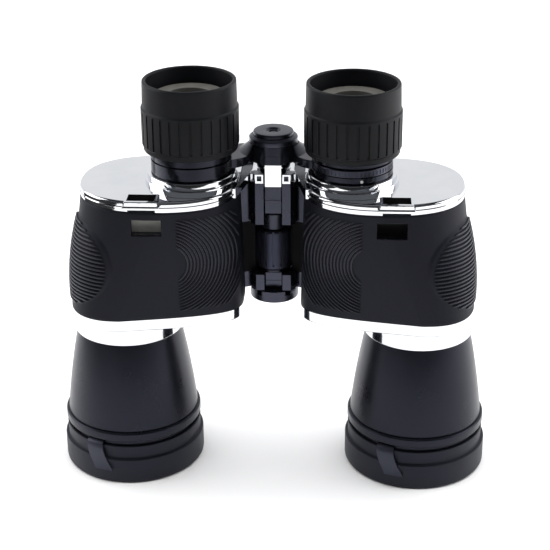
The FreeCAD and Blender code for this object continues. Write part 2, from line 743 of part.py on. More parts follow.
def flat_eye(name, low, top):
    """A hinge eye: round, with a flat front."""
    round_eye = cylinder(f"{name}_round", eye_r, low, top, 0, s.hinge_y)
    behind = box(
        f"{name}_behind",
        (-eye_r, eye_r),
        (s.hinge_y - s.eye_flat, s.hinge_y + eye_r),
        (low, top),
    )
    return common(name, round_eye, behind)


for side, half in (("left", housing), ("right", mirrored("housing_right", housing))):
    low_z = low_eye_z[side]
    top_z = top_eye_z[side]
    bore_r = hinge_tube_r if side == "left" else hinge_tube_r + s.slide_gap
    spans = [
        (body_low_z - s.eye_gap, low_z),
        (low_z + s.low_eye_tall, low_eyes_top_z + s.eye_gap),
        (shoulder_low_z - s.eye_gap, top_z),
        (top_z + s.eye_tall, body_top_z + s.eye_gap),
    ]
    recesses = [
        cylinder(f"{side}_recess_{i}", eye_cut_r, low, top, 0, s.hinge_y)
        for i, (low, top) in enumerate(spans)
    ]
    low_eye = flat_eye(f"{side}_low_eye", low_z, low_z + s.low_eye_tall)
    top_eye = flat_eye(f"{side}_top_eye", top_z, top_z + s.eye_tall)
    bore = cylinder(f"{side}_hinge_bore", bore_r, body_low_z, body_top_z, 0, s.hinge_y)
    hinged = fuse(f"{side}_hinged", cut(f"{side}_recessed", half, *recesses), low_eye, top_eye)
    keep(f"{side}_housing", cut(f"{side}_housing", hinged, bore))

armour = cut(
    "armour",
    shaped("armour_form", oval((body_low_z, 0), (body_top_z, 0))),
    shaped("armour_inside", oval((body_low_z, s.skin), (body_top_z, s.skin))),
    window,
    top_shoulder,
    low_shoulder,
)
pair("armour", armour)

strap_plate = box(
    "strap_plate",
    (channel_x[0] + s.slide_gap, channel_x[1] - s.slide_gap),
    (channel_y[1] - s.strap_plate, channel_y[1]),
    (channel_z, body_top_z),
)
pair("strap_plate", strap_plate)

# ---------------------------------------------------------------------------------------------
# Porro prisms: one on the shelf, one under it, crossed at a right angle, each under a clip
# ---------------------------------------------------------------------------------------------
prism_half_long = (s.objective_x - s.eye_x) / 2 * math.sqrt(0.5) + port_r


def roof(name, x, y, z, turn, up, wide, lift):
    """A right-angled prism with its long face at z; lift grows it outwards for the clip."""
    half_long = prism_half_long + lift
    body = doc.addObject("PartDesign::Body", name)
    pad = body.newObject("PartDesign::Pad", f"{name}_pad")
    corners = [(-half_long, 0), (half_long, 0), (0, half_long * up)]
    pad.Profile = profile_sketch(body, corners)
    pad.setExpression("Length", wide.text)
    pad.SideType = "Symmetric"
    body.Placement.Rotation = FreeCAD.Rotation(FreeCAD.Vector(0, 0, 1), turn)
    place(body, x, y, z)
    return body


upper_x = (objective_x + meet_x) / 2
lower_x = (eye_x + meet_x) / 2
prism_y = meet_y / 2
clips = []
for level, x, z, turn, up in (
    ("upper", upper_x, shelf_top_z, 45, 1),
    ("lower", lower_x, shelf_z, -45, -1),
):
    prism_body = roof(f"{level}_prism", x, prism_y, z, turn, up, s.prism_wide, 0)
    pair(f"{level}_prism", prism_body)
    band = roof(f"{level}_clip_band", x, prism_y, z, turn, up, s.clip_wide, s.clip_thick)
    clips.append(cut(f"{level}_clip", band, prism_body))
pair("prism_clips", fuse("prism_clips", *clips))

# ---------------------------------------------------------------------------------------------
# Top cover: chromed plate with an arm to the hinge and a framed strap slot
# ---------------------------------------------------------------------------------------------
round_edge = [
    (cover_top_z - s.cover_edge * (1 - math.sin(turn)), s.cover_edge * (1 - math.cos(turn)))
    for turn in (0, math.pi / 6, math.pi / 3, math.pi / 2)
]
plate = shaped("cover_plate", oval((body_top_z, 0), *round_edge))
arm = shoulder("cover_arm", body_top_z, cover_top_z, -s.arm_front_x, -s.arm_front_y)
cover_round = fuse("cover_round", plate, arm)
slot_x = (-(s.slot_x + s.slot_wide / 2), -(s.slot_x - s.slot_wide / 2))
frame = box(
    "slot_frame",
    (slot_x[0] - s.slot_frame, slot_x[1] + s.slot_frame),
    (-(s.top_deep + s.bar_out), -slot_front_y + s.slot_deep + s.slot_frame),
    (body_top_z - s.slot_frame_tall, cover_top_z + s.slot_frame_tall),
)
frame_edges = [(i, float(s.slot_frame), float(s.slot_frame)) for i in (1, 3, 5, 7)]
frame_round = doc.addObject("Part::Fillet", "slot_frame_round")
frame_round.Base = frame
frame_round.Edges = frame_edges
# The frame's foot hangs over the front of the armour, and ends on the housing everywhere else.
body_end = shaped("body_end", oval((body_top_z - s.slot_frame_tall * 2, 0), (body_top_z, 0)))
frame_fitted = cut("slot_frame_fitted", frame_round, body_end)
slot = box(
    "slot",
    slot_x,
    (-slot_front_y, -slot_front_y + s.slot_deep),
    (channel_z, cover_top_z + s.slot_frame_tall * 2),
)
cover_hole = cylinder(
    "cover_hole", s.tube_r + s.slide_gap + s.collar_sleeve, body_top_z, cover_top_z, eye_x
)
hinge_recess = cylinder(
    "hinge_recess", eye_cut_r, body_top_z, cover_top_z, 0, s.hinge_y
)
top_cover = cut(
    "top_cover",
    fuse("cover_framed", cover_round, frame_fitted),
    slot,
    cover_hole,
    hinge_recess,
)
pair("top_cover", top_cover)

# ---------------------------------------------------------------------------------------------
# Base cover: chromed dish under the housing, drawn down into a neck that holds the barrel
# ---------------------------------------------------------------------------------------------
dish = shaped("base_dish", oval((base_low_z, s.base_inset), (body_low_z, 0)))
neck_top_r = neck_r + s.neck_flare_r
neck = turned(
    "base_neck",
    [
        (0, neck_low_z),
        (neck_r, neck_low_z),
        (neck_r, neck_low_z + s.neck_straight, -s.neck_flare_r),
        (neck_top_r, base_low_z),
        (neck_top_r, base_low_z + s.cover_wall),
        (0, base_low_z + s.cover_wall),
    ],
    x=objective_x,
)
neck_limit = shaped(
    "neck_limit",
    oval((neck_low_z, s.base_inset), (base_low_z + s.cover_wall, s.base_inset)),
)
dish_hollow = shaped(
    "dish_hollow",
    oval(
        (base_low_z + s.cover_wall, s.base_inset + s.cover_wall),
        (body_low_z, hollow_shrink),
    ),
)
dish_boss = cylinder(
    "dish_boss", neck_r, base_low_z, body_low_z, objective_x
)
spigot_hole = cylinder(
    "spigot_hole", spigot_r + s.slide_gap, neck_low_z, body_low_z, objective_x
)
base_cover = cut(
    "base_cover",
    fuse(
        "base_whole",
        cut("dish_opened", dish, cut("dish_pocket", dish_hollow, dish_boss)),
        common("neck_trimmed", neck, neck_limit),
    ),
    spigot_hole,
)
pair("base_cover", base_cover)

# ---------------------------------------------------------------------------------------------
# Eyepiece collar: a two-tier chrome boss with a sleeve down through the top cover
# ---------------------------------------------------------------------------------------------
collar_bore_r = s.tube_r + s.slide_gap
collar_sleeve_r = collar_bore_r + s.collar_sleeve
collar_r = collar_bore_r + s.collar_wall
collar_step_r = collar_bore_r + s.collar_step_wall
collar_step_z = cover_top_z + s.collar_step
eyepiece_collar = turned(
    "eyepiece_collar",
    [
        (collar_bore_r, body_top_z),
        (collar_sleeve_r, body_top_z),
        (collar_sleeve_r, cover_top_z),
        (collar_r, cover_top_z),
        (collar_r, collar_step_z - s.collar_edge),
        (collar_r - s.collar_edge, collar_step_z),
        (collar_step_r, collar_step_z),
        (collar_step_r, collar_top_z - s.collar_edge, s.collar_edge),
        (collar_step_r - s.collar_edge, collar_top_z),
        (collar_bore_r, collar_top_z),
    ],
    x=eye_x,
)
pair("eyepiece_collar", eyepiece_collar)

# ---------------------------------------------------------------------------------------------
# Oculars: tube, rubber eyecup, lens ring, eye lens and field lens. The left one is fixed to its
# bridge arm. The right one screws on a neck, moved by the dioptre ring, and sits a little lower.
# ---------------------------------------------------------------------------------------------
tube_low_z = body_top_z - s.tube_drop
field_lens_z = cup_low_z - s.field_lens_drop
right_field_lens_z = field_lens_z + s.right_field_up
sleeve_top_z = cup_low_z + s.cup_high - s.cup_hollow - s.cup_lip
left_tube = turned(
    "left_eyepiece_tube",
    [
        (tube_bore_r - s.field_seat, tube_low_z),
        (s.tube_r, tube_low_z),
        (s.tube_r, groove_z),
        (cup_sleeve_r, groove_z),
        (cup_sleeve_r, flange_z),
        (arm_ring_r, flange_z),
        (arm_ring_r, cup_low_z),
        (cup_sleeve_r, cup_low_z),
        (cup_sleeve_r, sleeve_top_z),
        (tube_bore_r, sleeve_top_z),
        (tube_bore_r, field_lens_z),
        (tube_bore_r - s.field_seat, field_lens_z),
    ],
    x=eye_x,
)
keep("left_eyepiece_tube", left_tube)

neck_top_z = field_lens_z
dioptre_neck_r = s.tube_r - s.dioptre_neck_step
neck_bore_r = dioptre_neck_r - s.dioptre_neck_wall
right_arm_top_z = arm_low_z + s.arm_eye_tall
right_tube = turned(
    "right_eyepiece_tube",
    [
        (neck_bore_r, tube_low_z),
        (s.tube_r, tube_low_z),
        (s.tube_r, right_arm_top_z),
        (dioptre_neck_r, right_arm_top_z),
        (dioptre_neck_r, neck_top_z),
        (neck_bore_r, neck_top_z),
    ],
    x=s.eye_x,
)
keep("right_eyepiece_tube", right_tube)

ring_low_z = right_arm_top_z + s.eye_clear
ring_top_z = ring_low_z + s.dioptre_ring_tall
dioptre_ring_r = dioptre_neck_r + s.slide_gap + s.dioptre_ring_wall
dioptre_ring = turned(
    "dioptre_ring",
    [
        (dioptre_neck_r + s.slide_gap, ring_low_z),
        (dioptre_ring_r, ring_low_z),
        (dioptre_ring_r, ring_top_z - s.collar_edge),
        (dioptre_ring_r - s.collar_edge, ring_top_z),
        (dioptre_neck_r + s.slide_gap, ring_top_z),
    ],
    x=s.eye_x,
)
keep("dioptre_ring", dioptre_ring)

dioptre_tube_r = neck_bore_r - s.slide_gap
right_cup_z = cup_low_z - s.dioptre_drop
right_flange_z = ring_top_z + s.dioptre_room
neck_room_z = neck_top_z + s.dioptre_room
right_ocular = turned(
    "right_ocular_tube",
    [
        (dioptre_tube_r - s.field_seat, tube_low_z + s.dioptre_tube_up),
        (dioptre_tube_r, tube_low_z + s.dioptre_tube_up),
        (dioptre_tube_r, neck_room_z),
        (dioptre_neck_r + s.slide_gap, neck_room_z),
        (dioptre_neck_r + s.slide_gap, right_flange_z),
        (arm_ring_r, right_flange_z),
        (arm_ring_r, right_cup_z),
        (cup_sleeve_r, right_cup_z),
        (cup_sleeve_r, sleeve_top_z - s.dioptre_drop),
        (tube_bore_r, sleeve_top_z - s.dioptre_drop),
        (tube_bore_r, right_field_lens_z),
        (dioptre_tube_r - s.field_seat, right_field_lens_z),
    ],
    x=s.eye_x,
)
keep("right_ocular_tube", right_ocular)

cup_foot_r = cup_sleeve_r + s.slide_gap + s.cup_thick
cup_grip_r = cup_foot_r + s.cup_grip
cup_rim_r = cup_foot_r - s.cup_rim_in
face_ring_r = tube_bore_r + s.face_ring_out
for side, x, cup_z, field_z in (
    ("left", eye_x, cup_low_z, field_lens_z),
    ("right", s.eye_x, right_cup_z, right_field_lens_z),
):
    cup_top_z = cup_z + s.cup_high
    floor_z = cup_top_z - s.cup_hollow
    bore_r = cup_sleeve_r + s.slide_gap
    face_hole_r = face_ring_r + s.slide_gap
    eyecup = turned(
        f"{side}_eyecup",
        [
            (bore_r, cup_z),
            (cup_foot_r, cup_z),
            (cup_foot_r, cup_z + s.cup_band),
            (cup_grip_r, cup_z + s.cup_band + s.cup_step),
            (cup_grip_r, cup_top_z - s.cup_smooth - s.cup_step),
            (cup_foot_r, cup_top_z - s.cup_smooth),
            (cup_rim_r, cup_top_z - s.cup_wall / 2, s.cup_wall / 2),
            (cup_rim_r - s.cup_wall / 2, cup_top_z, s.cup_wall / 2),
            (cup_rim_r - s.cup_wall, cup_top_z - s.cup_wall / 2),
            (cup_rim_r - s.cup_wall, floor_z),
            (face_hole_r, floor_z),
            (face_hole_r, floor_z - s.cup_lip),
            (bore_r, floor_z - s.cup_lip),
        ],
        x=x,
    )
    keep(f"{side}_eyecup", eyecup)
    lens_seat_z = floor_z - s.eye_lens_deep
    ring_r = tube_bore_r - s.slide_gap
    eye_ring = turned(
        f"{side}_eye_ring",
        [
            (s.eye_lens_r + s.lens_seat, lens_seat_z - s.eye_lens_edge),
            (ring_r, lens_seat_z - s.eye_lens_edge),
            (ring_r, floor_z - s.cup_lip),
            (face_ring_r, floor_z - s.cup_lip),
            (face_ring_r, cup_top_z - s.face_ring_drop),
            (s.eye_lens_r, floor_z),
            (s.eye_lens_r, lens_seat_z),
            (s.eye_lens_r + s.lens_seat, lens_seat_z),
        ],
        x=x,
    )
    keep(f"{side}_eye_ring", eye_ring)
    eye_lens_outer_r = s.eye_lens_r + s.lens_seat - s.slide_gap
    eye_lens_face_r = s.eye_lens_r - s.slide_gap
    eye_lens = turned(
        f"{side}_eye_lens",
        [
            (0, lens_seat_z - s.eye_lens_edge),
            (eye_lens_outer_r, lens_seat_z - s.eye_lens_edge),
            (eye_lens_outer_r, lens_seat_z),
            (eye_lens_face_r, lens_seat_z, cap_radius(eye_lens_face_r, s.eye_lens_bulge)),
            (0, lens_seat_z + s.eye_lens_bulge),
        ],
        x=x,
    )
    keep(f"{side}_eye_lens", eye_lens)
    field_r = tube_bore_r - s.slide_gap
    field_lens = turned(
        f"{side}_field_lens",
        [
            (0, field_z),
            (field_r, field_z),
            (field_r, field_z + s.field_lens_thick, cap_radius(field_r, s.field_lens_bulge)),
            (0, field_z + s.field_lens_thick + s.field_lens_bulge),
        ],
        x=x,
    )
    keep(f"{side}_field_lens", field_lens)

# ---------------------------------------------------------------------------------------------
# Hinge: a tube through both halves' eyes, closed by the end disc with its tripod thread, and
# carrying washer, focus wheel, spacer and chrome collar from the bottom up
# ---------------------------------------------------------------------------------------------
disc_top_z = body_low_z - s.eye_clear
end_disc_z = disc_top_z - s.end_disc_tall
hinge_tube_low_z = end_disc_z + s.disc_seat
hinge_collar_top_z = arm_low_z - s.hub_gap
washer_top_z = low_eyes_top_z + s.washer_tall
spacer_gap = s.eye_clear / 2
wheel_z = washer_top_z + spacer_gap
wheel_top_z = wheel_z + s.wheel_tall
key_z = wheel_z + s.key_up
hinge_tube_whole = turned(
    "hinge_tube_whole",
    [
        (s.spindle_r + s.slide_gap, hinge_tube_low_z),
        (hinge_tube_r, hinge_tube_low_z),
        (hinge_tube_r, hinge_collar_top_z),
        (s.spindle_r + s.slide_gap, hinge_collar_top_z),
    ],
    y=s.hinge_y,
)
key_room = s.eye_clear
tube_slot = box(
    "tube_slot",
    (-hinge_tube_r, hinge_tube_r),
    (s.hinge_y - s.key_thick / 2 - s.slide_gap, s.hinge_y + s.key_thick / 2 + s.slide_gap),
    (key_z - key_room, key_z + s.key_tall + s.focus_travel + key_room),
)
keep("hinge_tube", cut("hinge_tube", hinge_tube_whole, tube_slot))

end_disc = turned(
    "hinge_end_disc",
    [
        (s.tripod_hole_r, end_disc_z),
        (s.end_disc_r - s.disc_edge, end_disc_z),
        (s.end_disc_r, end_disc_z + s.disc_edge),
        (s.end_disc_r, disc_top_z - s.disc_edge),
        (s.end_disc_r - s.disc_edge, disc_top_z),
        (hinge_tube_r, disc_top_z),
        (hinge_tube_r, hinge_tube_low_z),
        (s.spindle_r, hinge_tube_low_z),
        (s.spindle_r, end_disc_z + s.tripod_hole_deep + s.disc_edge * 2),
        (0, end_disc_z + s.tripod_hole_deep + s.disc_edge * 2),
        (0, end_disc_z + s.tripod_hole_deep),
        (s.tripod_hole_r, end_disc_z + s.tripod_hole_deep),
    ],
    y=s.hinge_y,
)
keep("hinge_end_disc", end_disc)


def sleeve(node, outer_r, inner_r, low, top, edge):
    """A plain ring on the hinge axis with bevelled outer edges."""
    ring = turned(
        node,
        [
            (inner_r, low),
            (outer_r - edge, low),
            (outer_r, low + edge),
            (outer_r, top - edge),
            (outer_r - edge, top),
            (inner_r, top),
        ],
        y=s.hinge_y,
    )
    return keep(node, ring)


eyes_top_z = eye_stack_z + s.eye_tall * 2 + s.eye_clear
sleeve("hinge_washer", eye_r, hinge_tube_r, low_eyes_top_z, washer_top_z, s.disc_edge)
hinge_collar = cut(
    "hinge_collar",
    flat_eye("hinge_collar_whole", eyes_top_z, hinge_collar_top_z),
    cylinder("hinge_collar_bore", hinge_tube_r, eyes_top_z, hinge_collar_top_z, 0, s.hinge_y),
)
keep("hinge_collar", hinge_collar)
sleeve(
    "hinge_spacer",
    hinge_tube_r + s.spacer_wall,
    hinge_tube_r,
    wheel_top_z + spacer_gap,
    eye_stack_z - spacer_gap,
    s.disc_edge,
)
wheel_bore_r = hinge_tube_r + s.slide_gap
wheel_r = wheel_bore_r + s.wheel_wall
wheel = sleeve("focus_wheel", wheel_r, wheel_bore_r, wheel_z, wheel_top_z, s.wheel_edge)
fluted(wheel, wheel_r, s.flute_r, wheel_z + s.wheel_rim, wheel_top_z, s.flutes)

# ---------------------------------------------------------------------------------------------
# Focusing bridge: a spindle in the hinge tube, moved by a key from the wheel, and two arms
# ---------------------------------------------------------------------------------------------
hub_top_z = arm_low_z + s.hub_tall
hub_split_z = arm_low_z + s.right_hub_tall
spindle_low_z = key_z - s.spindle_foot
spindle = turned(
    "focus_spindle",
    [
        (0, spindle_low_z),
        (s.spindle_r, spindle_low_z),
        (s.spindle_r, hub_top_z),
        (0, hub_top_z),
    ],
    y=s.hinge_y,
)
key_bar = box(
    "key_bar",
    (-hinge_tube_r, hinge_tube_r),
    (s.hinge_y - s.key_thick / 2, s.hinge_y + s.key_thick / 2),
    (key_z, key_z + s.key_tall),
)
key_round = cylinder("key_round", hinge_tube_r, key_z, key_z + s.key_tall, 0, s.hinge_y)
key = common("focus_key", key_bar, key_round)
keep("focus_spindle", cut("focus_spindle", spindle, key))
keep("focus_key", key)


def hub_point(angle, radius):
    """A point about the hinge axis, angle in degrees from the left side towards the front."""
    turn = math.radians(angle)
    return point(-radius * math.cos(turn), float(s.hinge_y) - radius * math.sin(turn))


def bridge_web(name, low, top, edge_r):
    """The left web's plan: a concave front edge, and a back edge that touches hub and ring."""
    hub_r = float(s.hub_r)
    reach = math.hypot(float(s.eye_x), float(s.hinge_y))
    bearing = math.degrees(math.atan2(float(s.hinge_y), float(s.eye_x)))
    tangent = math.degrees(math.acos((edge_r - hub_r) / reach))
    back = bearing - tangent
    eye = point(eye_x, 0)
    back_turn = math.radians(back)
    normal = point(-math.cos(back_turn), -math.sin(back_turn))
    front_hub = hub_point(float(s.web_front_angle), hub_r - float(s.saddle_edge))
    front_eye = eye + point(edge_r - float(s.eye_clear), 0)
    dip = hub_point(float(s.web_dip_angle), hub_r + float(s.web_dip_off))
    wires = [
        Part.Arc(front_eye, dip, front_hub).toShape(),
        Part.makePolygon([
            front_hub,
            point(0, s.hinge_y),
            point(0, s.hinge_y) + normal * hub_r,
            eye + normal * edge_r,
            eye,
            front_eye,
        ]),
    ]
    edges = [edge for wire in wires for edge in wire.Edges]
    face = Part.Face(Part.Wire(Part.__sortEdges__(edges)))
    face.translate(point(0, 0, low))
    return shaped(name, face.extrude(point(0, 0, top - low)))


split_low_z = hub_split_z
split_top_z = hub_split_z + s.eye_clear / 2
hub_room_r = s.hub_r + s.eye_gap
left_web = bridge_web("left_web", arm_low_z, arm_top_z, arm_ring_r)
left_ring = cylinder("left_arm_ring", arm_ring_r, arm_low_z, groove_z, eye_x)
saddle = turned(
    "bridge_saddle",
    [
        (0, arm_low_z),
        (s.saddle_r, arm_low_z),
        (s.saddle_r, arm_top_z - s.saddle_edge, -s.saddle_bend),
        (s.hub_r, hub_top_z - s.saddle_edge),
        (0, hub_top_z - s.saddle_edge),
    ],
    y=s.hinge_y,
)
saddle_limit = bridge_web("saddle_limit", arm_low_z, hub_top_z, arm_ring_r)
web_saddle = common("web_saddle", saddle, saddle_limit)
left_hub = cylinder("left_hub", s.hub_r, split_top_z, hub_top_z, 0, s.hinge_y)
right_hub_room = cylinder(
    "right_hub_room", hub_room_r, arm_low_z - s.eye_gap, split_top_z, 0, s.hinge_y
)
left_arm = cut(
    "left_bridge_arm",
    fuse(
        "left_arm_joined",
        cut("left_arm_trimmed", fuse("left_arm_whole", left_web, left_ring, web_saddle), right_hub_room),
        left_hub,
    ),
    cylinder("left_arm_bore", s.tube_r, arm_low_z, groove_z, eye_x),
    cylinder("left_hub_bore", s.spindle_r, arm_low_z, hub_top_z, 0, s.hinge_y),
)
keep("left_bridge_arm", left_arm)

right_ring = cylinder("right_arm_ring", arm_ring_r, arm_low_z, right_arm_top_z, eye_x)
right_hub = cylinder("right_hub", s.hub_r, arm_low_z, split_low_z, 0, s.hinge_y)
dioptre_room = cylinder(
    "dioptre_room",
    dioptre_ring_r + s.eye_gap,
    right_arm_top_z,
    hub_top_z,
    eye_x,
)
left_hub_room = cylinder("left_hub_room", hub_room_r, split_low_z, hub_top_z, 0, s.hinge_y)
right_arm_as_left = cut(
    "right_arm_as_left",
    fuse("right_arm_whole", left_web, right_ring, web_saddle, right_hub),
    dioptre_room,
    left_hub_room,
    cylinder("right_arm_bore", s.tube_r, arm_low_z, right_arm_top_z, eye_x),
    cylinder("right_hub_bore", s.spindle_r + s.slide_gap, arm_low_z, split_low_z, 0, s.hinge_y),
)
keep("right_bridge_arm", mirrored("right_bridge_arm", right_arm_as_left))

cap_low_z = hub_top_z
cap_disc_z = cap_low_z + s.cap_disc_tall
cap_dimple_z = cap_disc_z - s.dimple_deep
bridge_cap = turned(
    "bridge_cap",
    [
        (s.screw_r, cap_low_z),
        (s.cap_disc_r, cap_low_z),
        (s.cap_disc_r, cap_disc_z - s.disc_edge, s.disc_edge),
        (s.cap_disc_r - s.disc_edge, cap_disc_z),
        (s.dimple_r, cap_disc_z),
        (s.screw_r, cap_dimple_z),
    ],
    y=s.hinge_y,
)
keep("bridge_cap", bridge_cap)
cap_screw = turned(
    "cap_screw",
    [
        (0, cap_low_z),
        (s.screw_r, cap_low_z),
        (s.screw_r, cap_dimple_z, cap_radius(s.screw_r, s.screw_dome)),
        (0, cap_dimple_z + s.screw_dome),
    ],
    y=s.hinge_y,
)
keep("cap_screw", cap_screw)

doc.recompute()
os.makedirs("parts", exist_ok=True)
for thing in doc.Objects:
    bad = [state for state in thing.State if state in ("Invalid", "Error")]
    if bad:
        raise RuntimeError(f"{thing.Name} is {bad}")
for node, thing in NODES.items():
    if thing.Shape.isNull() or not thing.Shape.isValid():
        raise RuntimeError(f"{node} has no valid shape")
for node, thing in NODES.items():
    thing.Shape.exportStep(f"parts/{node}.step")
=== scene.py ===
"""Porro-prism binoculars standing on their capped objectives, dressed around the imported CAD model.

The sections follow the order of assembly. Sizes are in millimetres. X runs from the left half to
the right half, -Y is the front, and Z goes up from the floor.
"""

import math

import bmesh
import bpy
import numpy as np
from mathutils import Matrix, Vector


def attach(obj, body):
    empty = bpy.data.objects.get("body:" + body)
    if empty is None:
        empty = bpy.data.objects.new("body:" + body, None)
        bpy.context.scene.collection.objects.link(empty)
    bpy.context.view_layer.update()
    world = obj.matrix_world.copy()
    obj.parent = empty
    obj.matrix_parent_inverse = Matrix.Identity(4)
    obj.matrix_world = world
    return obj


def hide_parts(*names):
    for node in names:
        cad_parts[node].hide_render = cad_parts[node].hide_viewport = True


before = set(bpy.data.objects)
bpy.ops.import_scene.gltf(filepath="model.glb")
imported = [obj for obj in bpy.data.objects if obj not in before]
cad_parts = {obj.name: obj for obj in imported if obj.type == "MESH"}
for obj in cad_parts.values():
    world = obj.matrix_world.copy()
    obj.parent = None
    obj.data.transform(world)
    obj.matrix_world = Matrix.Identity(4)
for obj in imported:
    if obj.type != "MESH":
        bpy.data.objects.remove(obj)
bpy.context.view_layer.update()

# ------------------------------------------------------------------------------
# Objective barrels. Die-cast tubes, turned and sprayed with satin black lacquer: a slightly
# convex cone over a beaded end, with a spigot above that goes up into the housing.

MM = 0.001
SIDES = {"left": -1, "right": 1}
OBJECTIVE_X = 65.5
MOUTH_R = 28.0
MOUTH_Z = 2.2
WALL_R = 29.55
BEAD_R = 31.15
BEAD_Z = (20.7, 25.25)
# Radius and height of the cone's foot and top, and how far its side bulges between them.
CONE_LOW = (29.9, 25.8)
CONE_TOP = (23.5, 65.8)
CONE_BULGE = 0.55
SPIGOT_R = 21.6
SPIGOT_BORE_R = 19.0
SPIGOT_Z = 80.4
LENS_SEAT_R = 25.45
LENS_SEAT_Z = (10.2, 24.0)


def srgb(text, alpha=1.0):
    """A hex colour as the linear values that a shader takes."""
    parts = [int(text[i : i + 2], 16) / 255 for i in (1, 3, 5)]
    linear = [c / 12.92 if c <= 0.04045 else ((c + 0.055) / 1.055) ** 2.4 for c in parts]
    return (*linear, alpha)


def add(tree, kind, *inputs, **settings):
    """Adds a node with its settings. kind is a node's type, or an operation in capitals for a
    maths node. inputs are its values in order, or a dict of them by name or number. A socket is
    linked, and a node stands for its first output."""
    if kind.isupper():
        kind, settings = "ShaderNodeMath", {"operation": kind}
    made = tree.nodes.new(kind)
    for name, value in settings.items():
        setattr(made, name, value)
    named = inputs and isinstance(inputs[0], dict)
    for name, value in (inputs[0] if named else dict(enumerate(inputs))).items():
        if isinstance(value, bpy.types.Node):
            value = value.outputs[0]
        if isinstance(value, bpy.types.NodeSocket):
            tree.links.new(value, made.inputs[name])
        else:
            made.inputs[name].default_value = value
    return made


def finish_of(name, color, roughness, worn=None, smudge=0.0, patch=16, grain=None, **shader):
    """A finish. worn is the colour of faint cloudy patches and smudge how much they change the
    roughness, both over patch millimetres. grain is (size, height) of its fine surface, in
    millimetres, which is drawn coarser than the real one wherever that is too fine to show.
    Anything else is a socket of the shader, the same all over."""
    material = bpy.data.materials.new(name)
    material.use_nodes = True
    tree = material.node_tree
    surface = tree.nodes["Principled BSDF"]
    surface.inputs["Roughness"].default_value = roughness
    surface.inputs["Base Color"].default_value = srgb(color)
    for socket, value in shader.items():
        surface.inputs[socket.replace("_", " ").title().replace("Ior", "IOR")].default_value = value
    place = add(tree, "ShaderNodeTexCoord").outputs["Object"]
    size = {"Scale": 1 / (patch * MM), "Detail": 4.0, "Roughness": 0.6}
    cloud = add(tree, "ShaderNodeTexNoise", {"Vector": place, **size}).outputs["Fac"]
    if smudge:
        ends = {"To Min": roughness - smudge, "To Max": roughness + smudge}
        cloud_range = {"Value": cloud, "From Min": 0.3, "From Max": 0.7, **ends}
        spread = add(tree, "ShaderNodeMapRange", cloud_range)
        tree.links.new(spread.outputs["Result"], surface.inputs["Roughness"])
    if worn:
        cloud_range = {"Value": cloud, "From Min": 0.35, "From Max": 0.75}
        amount = add(tree, "ShaderNodeMapRange", cloud_range)
        colors = {0: amount, 6: srgb(color), 7: srgb(worn)}
        blend = add(tree, "ShaderNodeMix", colors, data_type="RGBA")
        tree.links.new(blend.outputs[2], surface.inputs["Base Color"])
    if grain:
        size, height = grain
        noise = {"Vector": place, "Scale": 1 / (size * MM), "Detail": 3.0}
        specks = add(tree, "ShaderNodeTexNoise", noise).outputs["Fac"]
        bump = {"Height": specks, "Distance": height * MM, "Strength": 1.0}
        tree.links.new(add(tree, "ShaderNodeBump", bump).outputs[0], surface.inputs["Normal"])
    return material


def mesh_of(name, points, faces, material, sharp=35):
    """A piece from points in millimetres, smooth except at edges sharper than that angle."""
    mesh = bpy.data.meshes.new(name)
    mesh.from_pydata([Vector(p) * MM for p in points], [], faces)
    mesh.validate()
    mesh.materials.append(material)
    mesh.shade_smooth()
    mesh.set_sharp_from_angle(angle=math.radians(sharp))
    made = bpy.data.objects.new(name, mesh)
    bpy.context.scene.collection.objects.link(made)
    return made


def softened(corners, steps=5):
    """Corners as points, with each (across, up, radius) corner rounded by that radius."""
    result = []
    count = len(corners)
    for i, corner in enumerate(corners):
        here = Vector(corner[:2])
        if len(corner) < 3:
            result.append(here)
            continue
        before = (Vector(corners[i - 1][:2]) - here).normalized()
        after = (Vector(corners[(i + 1) % count][:2]) - here).normalized()
        half = before.angle(after) / 2
        reach = corner[2] / math.tan(half)
        centre = here + (before + after).normalized() * corner[2] / math.sin(half)
        start = here + before * reach - centre
        end = here + after * reach - centre
        for k in range(steps + 1):
            t = k / steps
            result.append(centre + start.slerp(end, t, start.lerp(end, t)).normalized() * corner[2])
    return result


def grid_faces(rows, columns, close_rows, flip=False):
    """Quads of a grid whose columns close round; its rows close too where close_rows is true."""
    faces = []
    for i in range(rows if close_rows else rows - 1):
        for j in range(columns):
            a = i * columns + j
            b = i * columns + (j + 1) % columns
            c = (i + 1) % rows * columns + (j + 1) % columns
            d = (i + 1) % rows * columns + j
            faces.append((d, c, b, a) if flip else (a, b, c, d))
    return faces


def lathe(name, corners, material, x=0.0, y=0.0, segments=160, sharp=35):
    """A closed profile of (radius, height) corners turned about the vertical through x, y. It runs
    anticlockwise: outside going up, inside going down. Radius 0 closes a solid on its axis."""
    profile = softened(corners)
    points = []
    for radius, height in profile:
        for j in range(segments):
            angle = 2 * math.pi * j / segments
            points.append((x + radius * math.cos(angle), y + radius * math.sin(angle), height))
    made = mesh_of(name, points, grid_faces(len(profile), segments, True), material, sharp)
    work = bmesh.new()
    work.from_mesh(made.data)
    bmesh.ops.remove_doubles(work, verts=work.verts, dist=1e-7)
    bmesh.ops.dissolve_degenerate(work, edges=work.edges, dist=1e-7)
    work.to_mesh(made.data)
    work.free()
    return made


def wear(thing, body, *nodes, slot):
    """Puts a finished piece on its CAD body, in place of the nodes that it stands for."""
    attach(thing, body)
    if nodes:
        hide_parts(*nodes)
    return thing


# Black lacquer, enamel and smooth rubber mirror the light with a faint cool cast.
COOL_SHEEN = srgb("#dde1ff")
# Sprayed lacquer over a die casting: even and satin, with a faint orange peel that softens the
# highlights down its sides.
BARREL_LACQUER = finish_of(
    "satin_black_lacquer", "#0d0e13", 0.3, worn="#121318", smudge=0.04, grain=(0.5, 0.012),
    specular_ior_level=0.3, specular_tint=COOL_SHEEN,
)


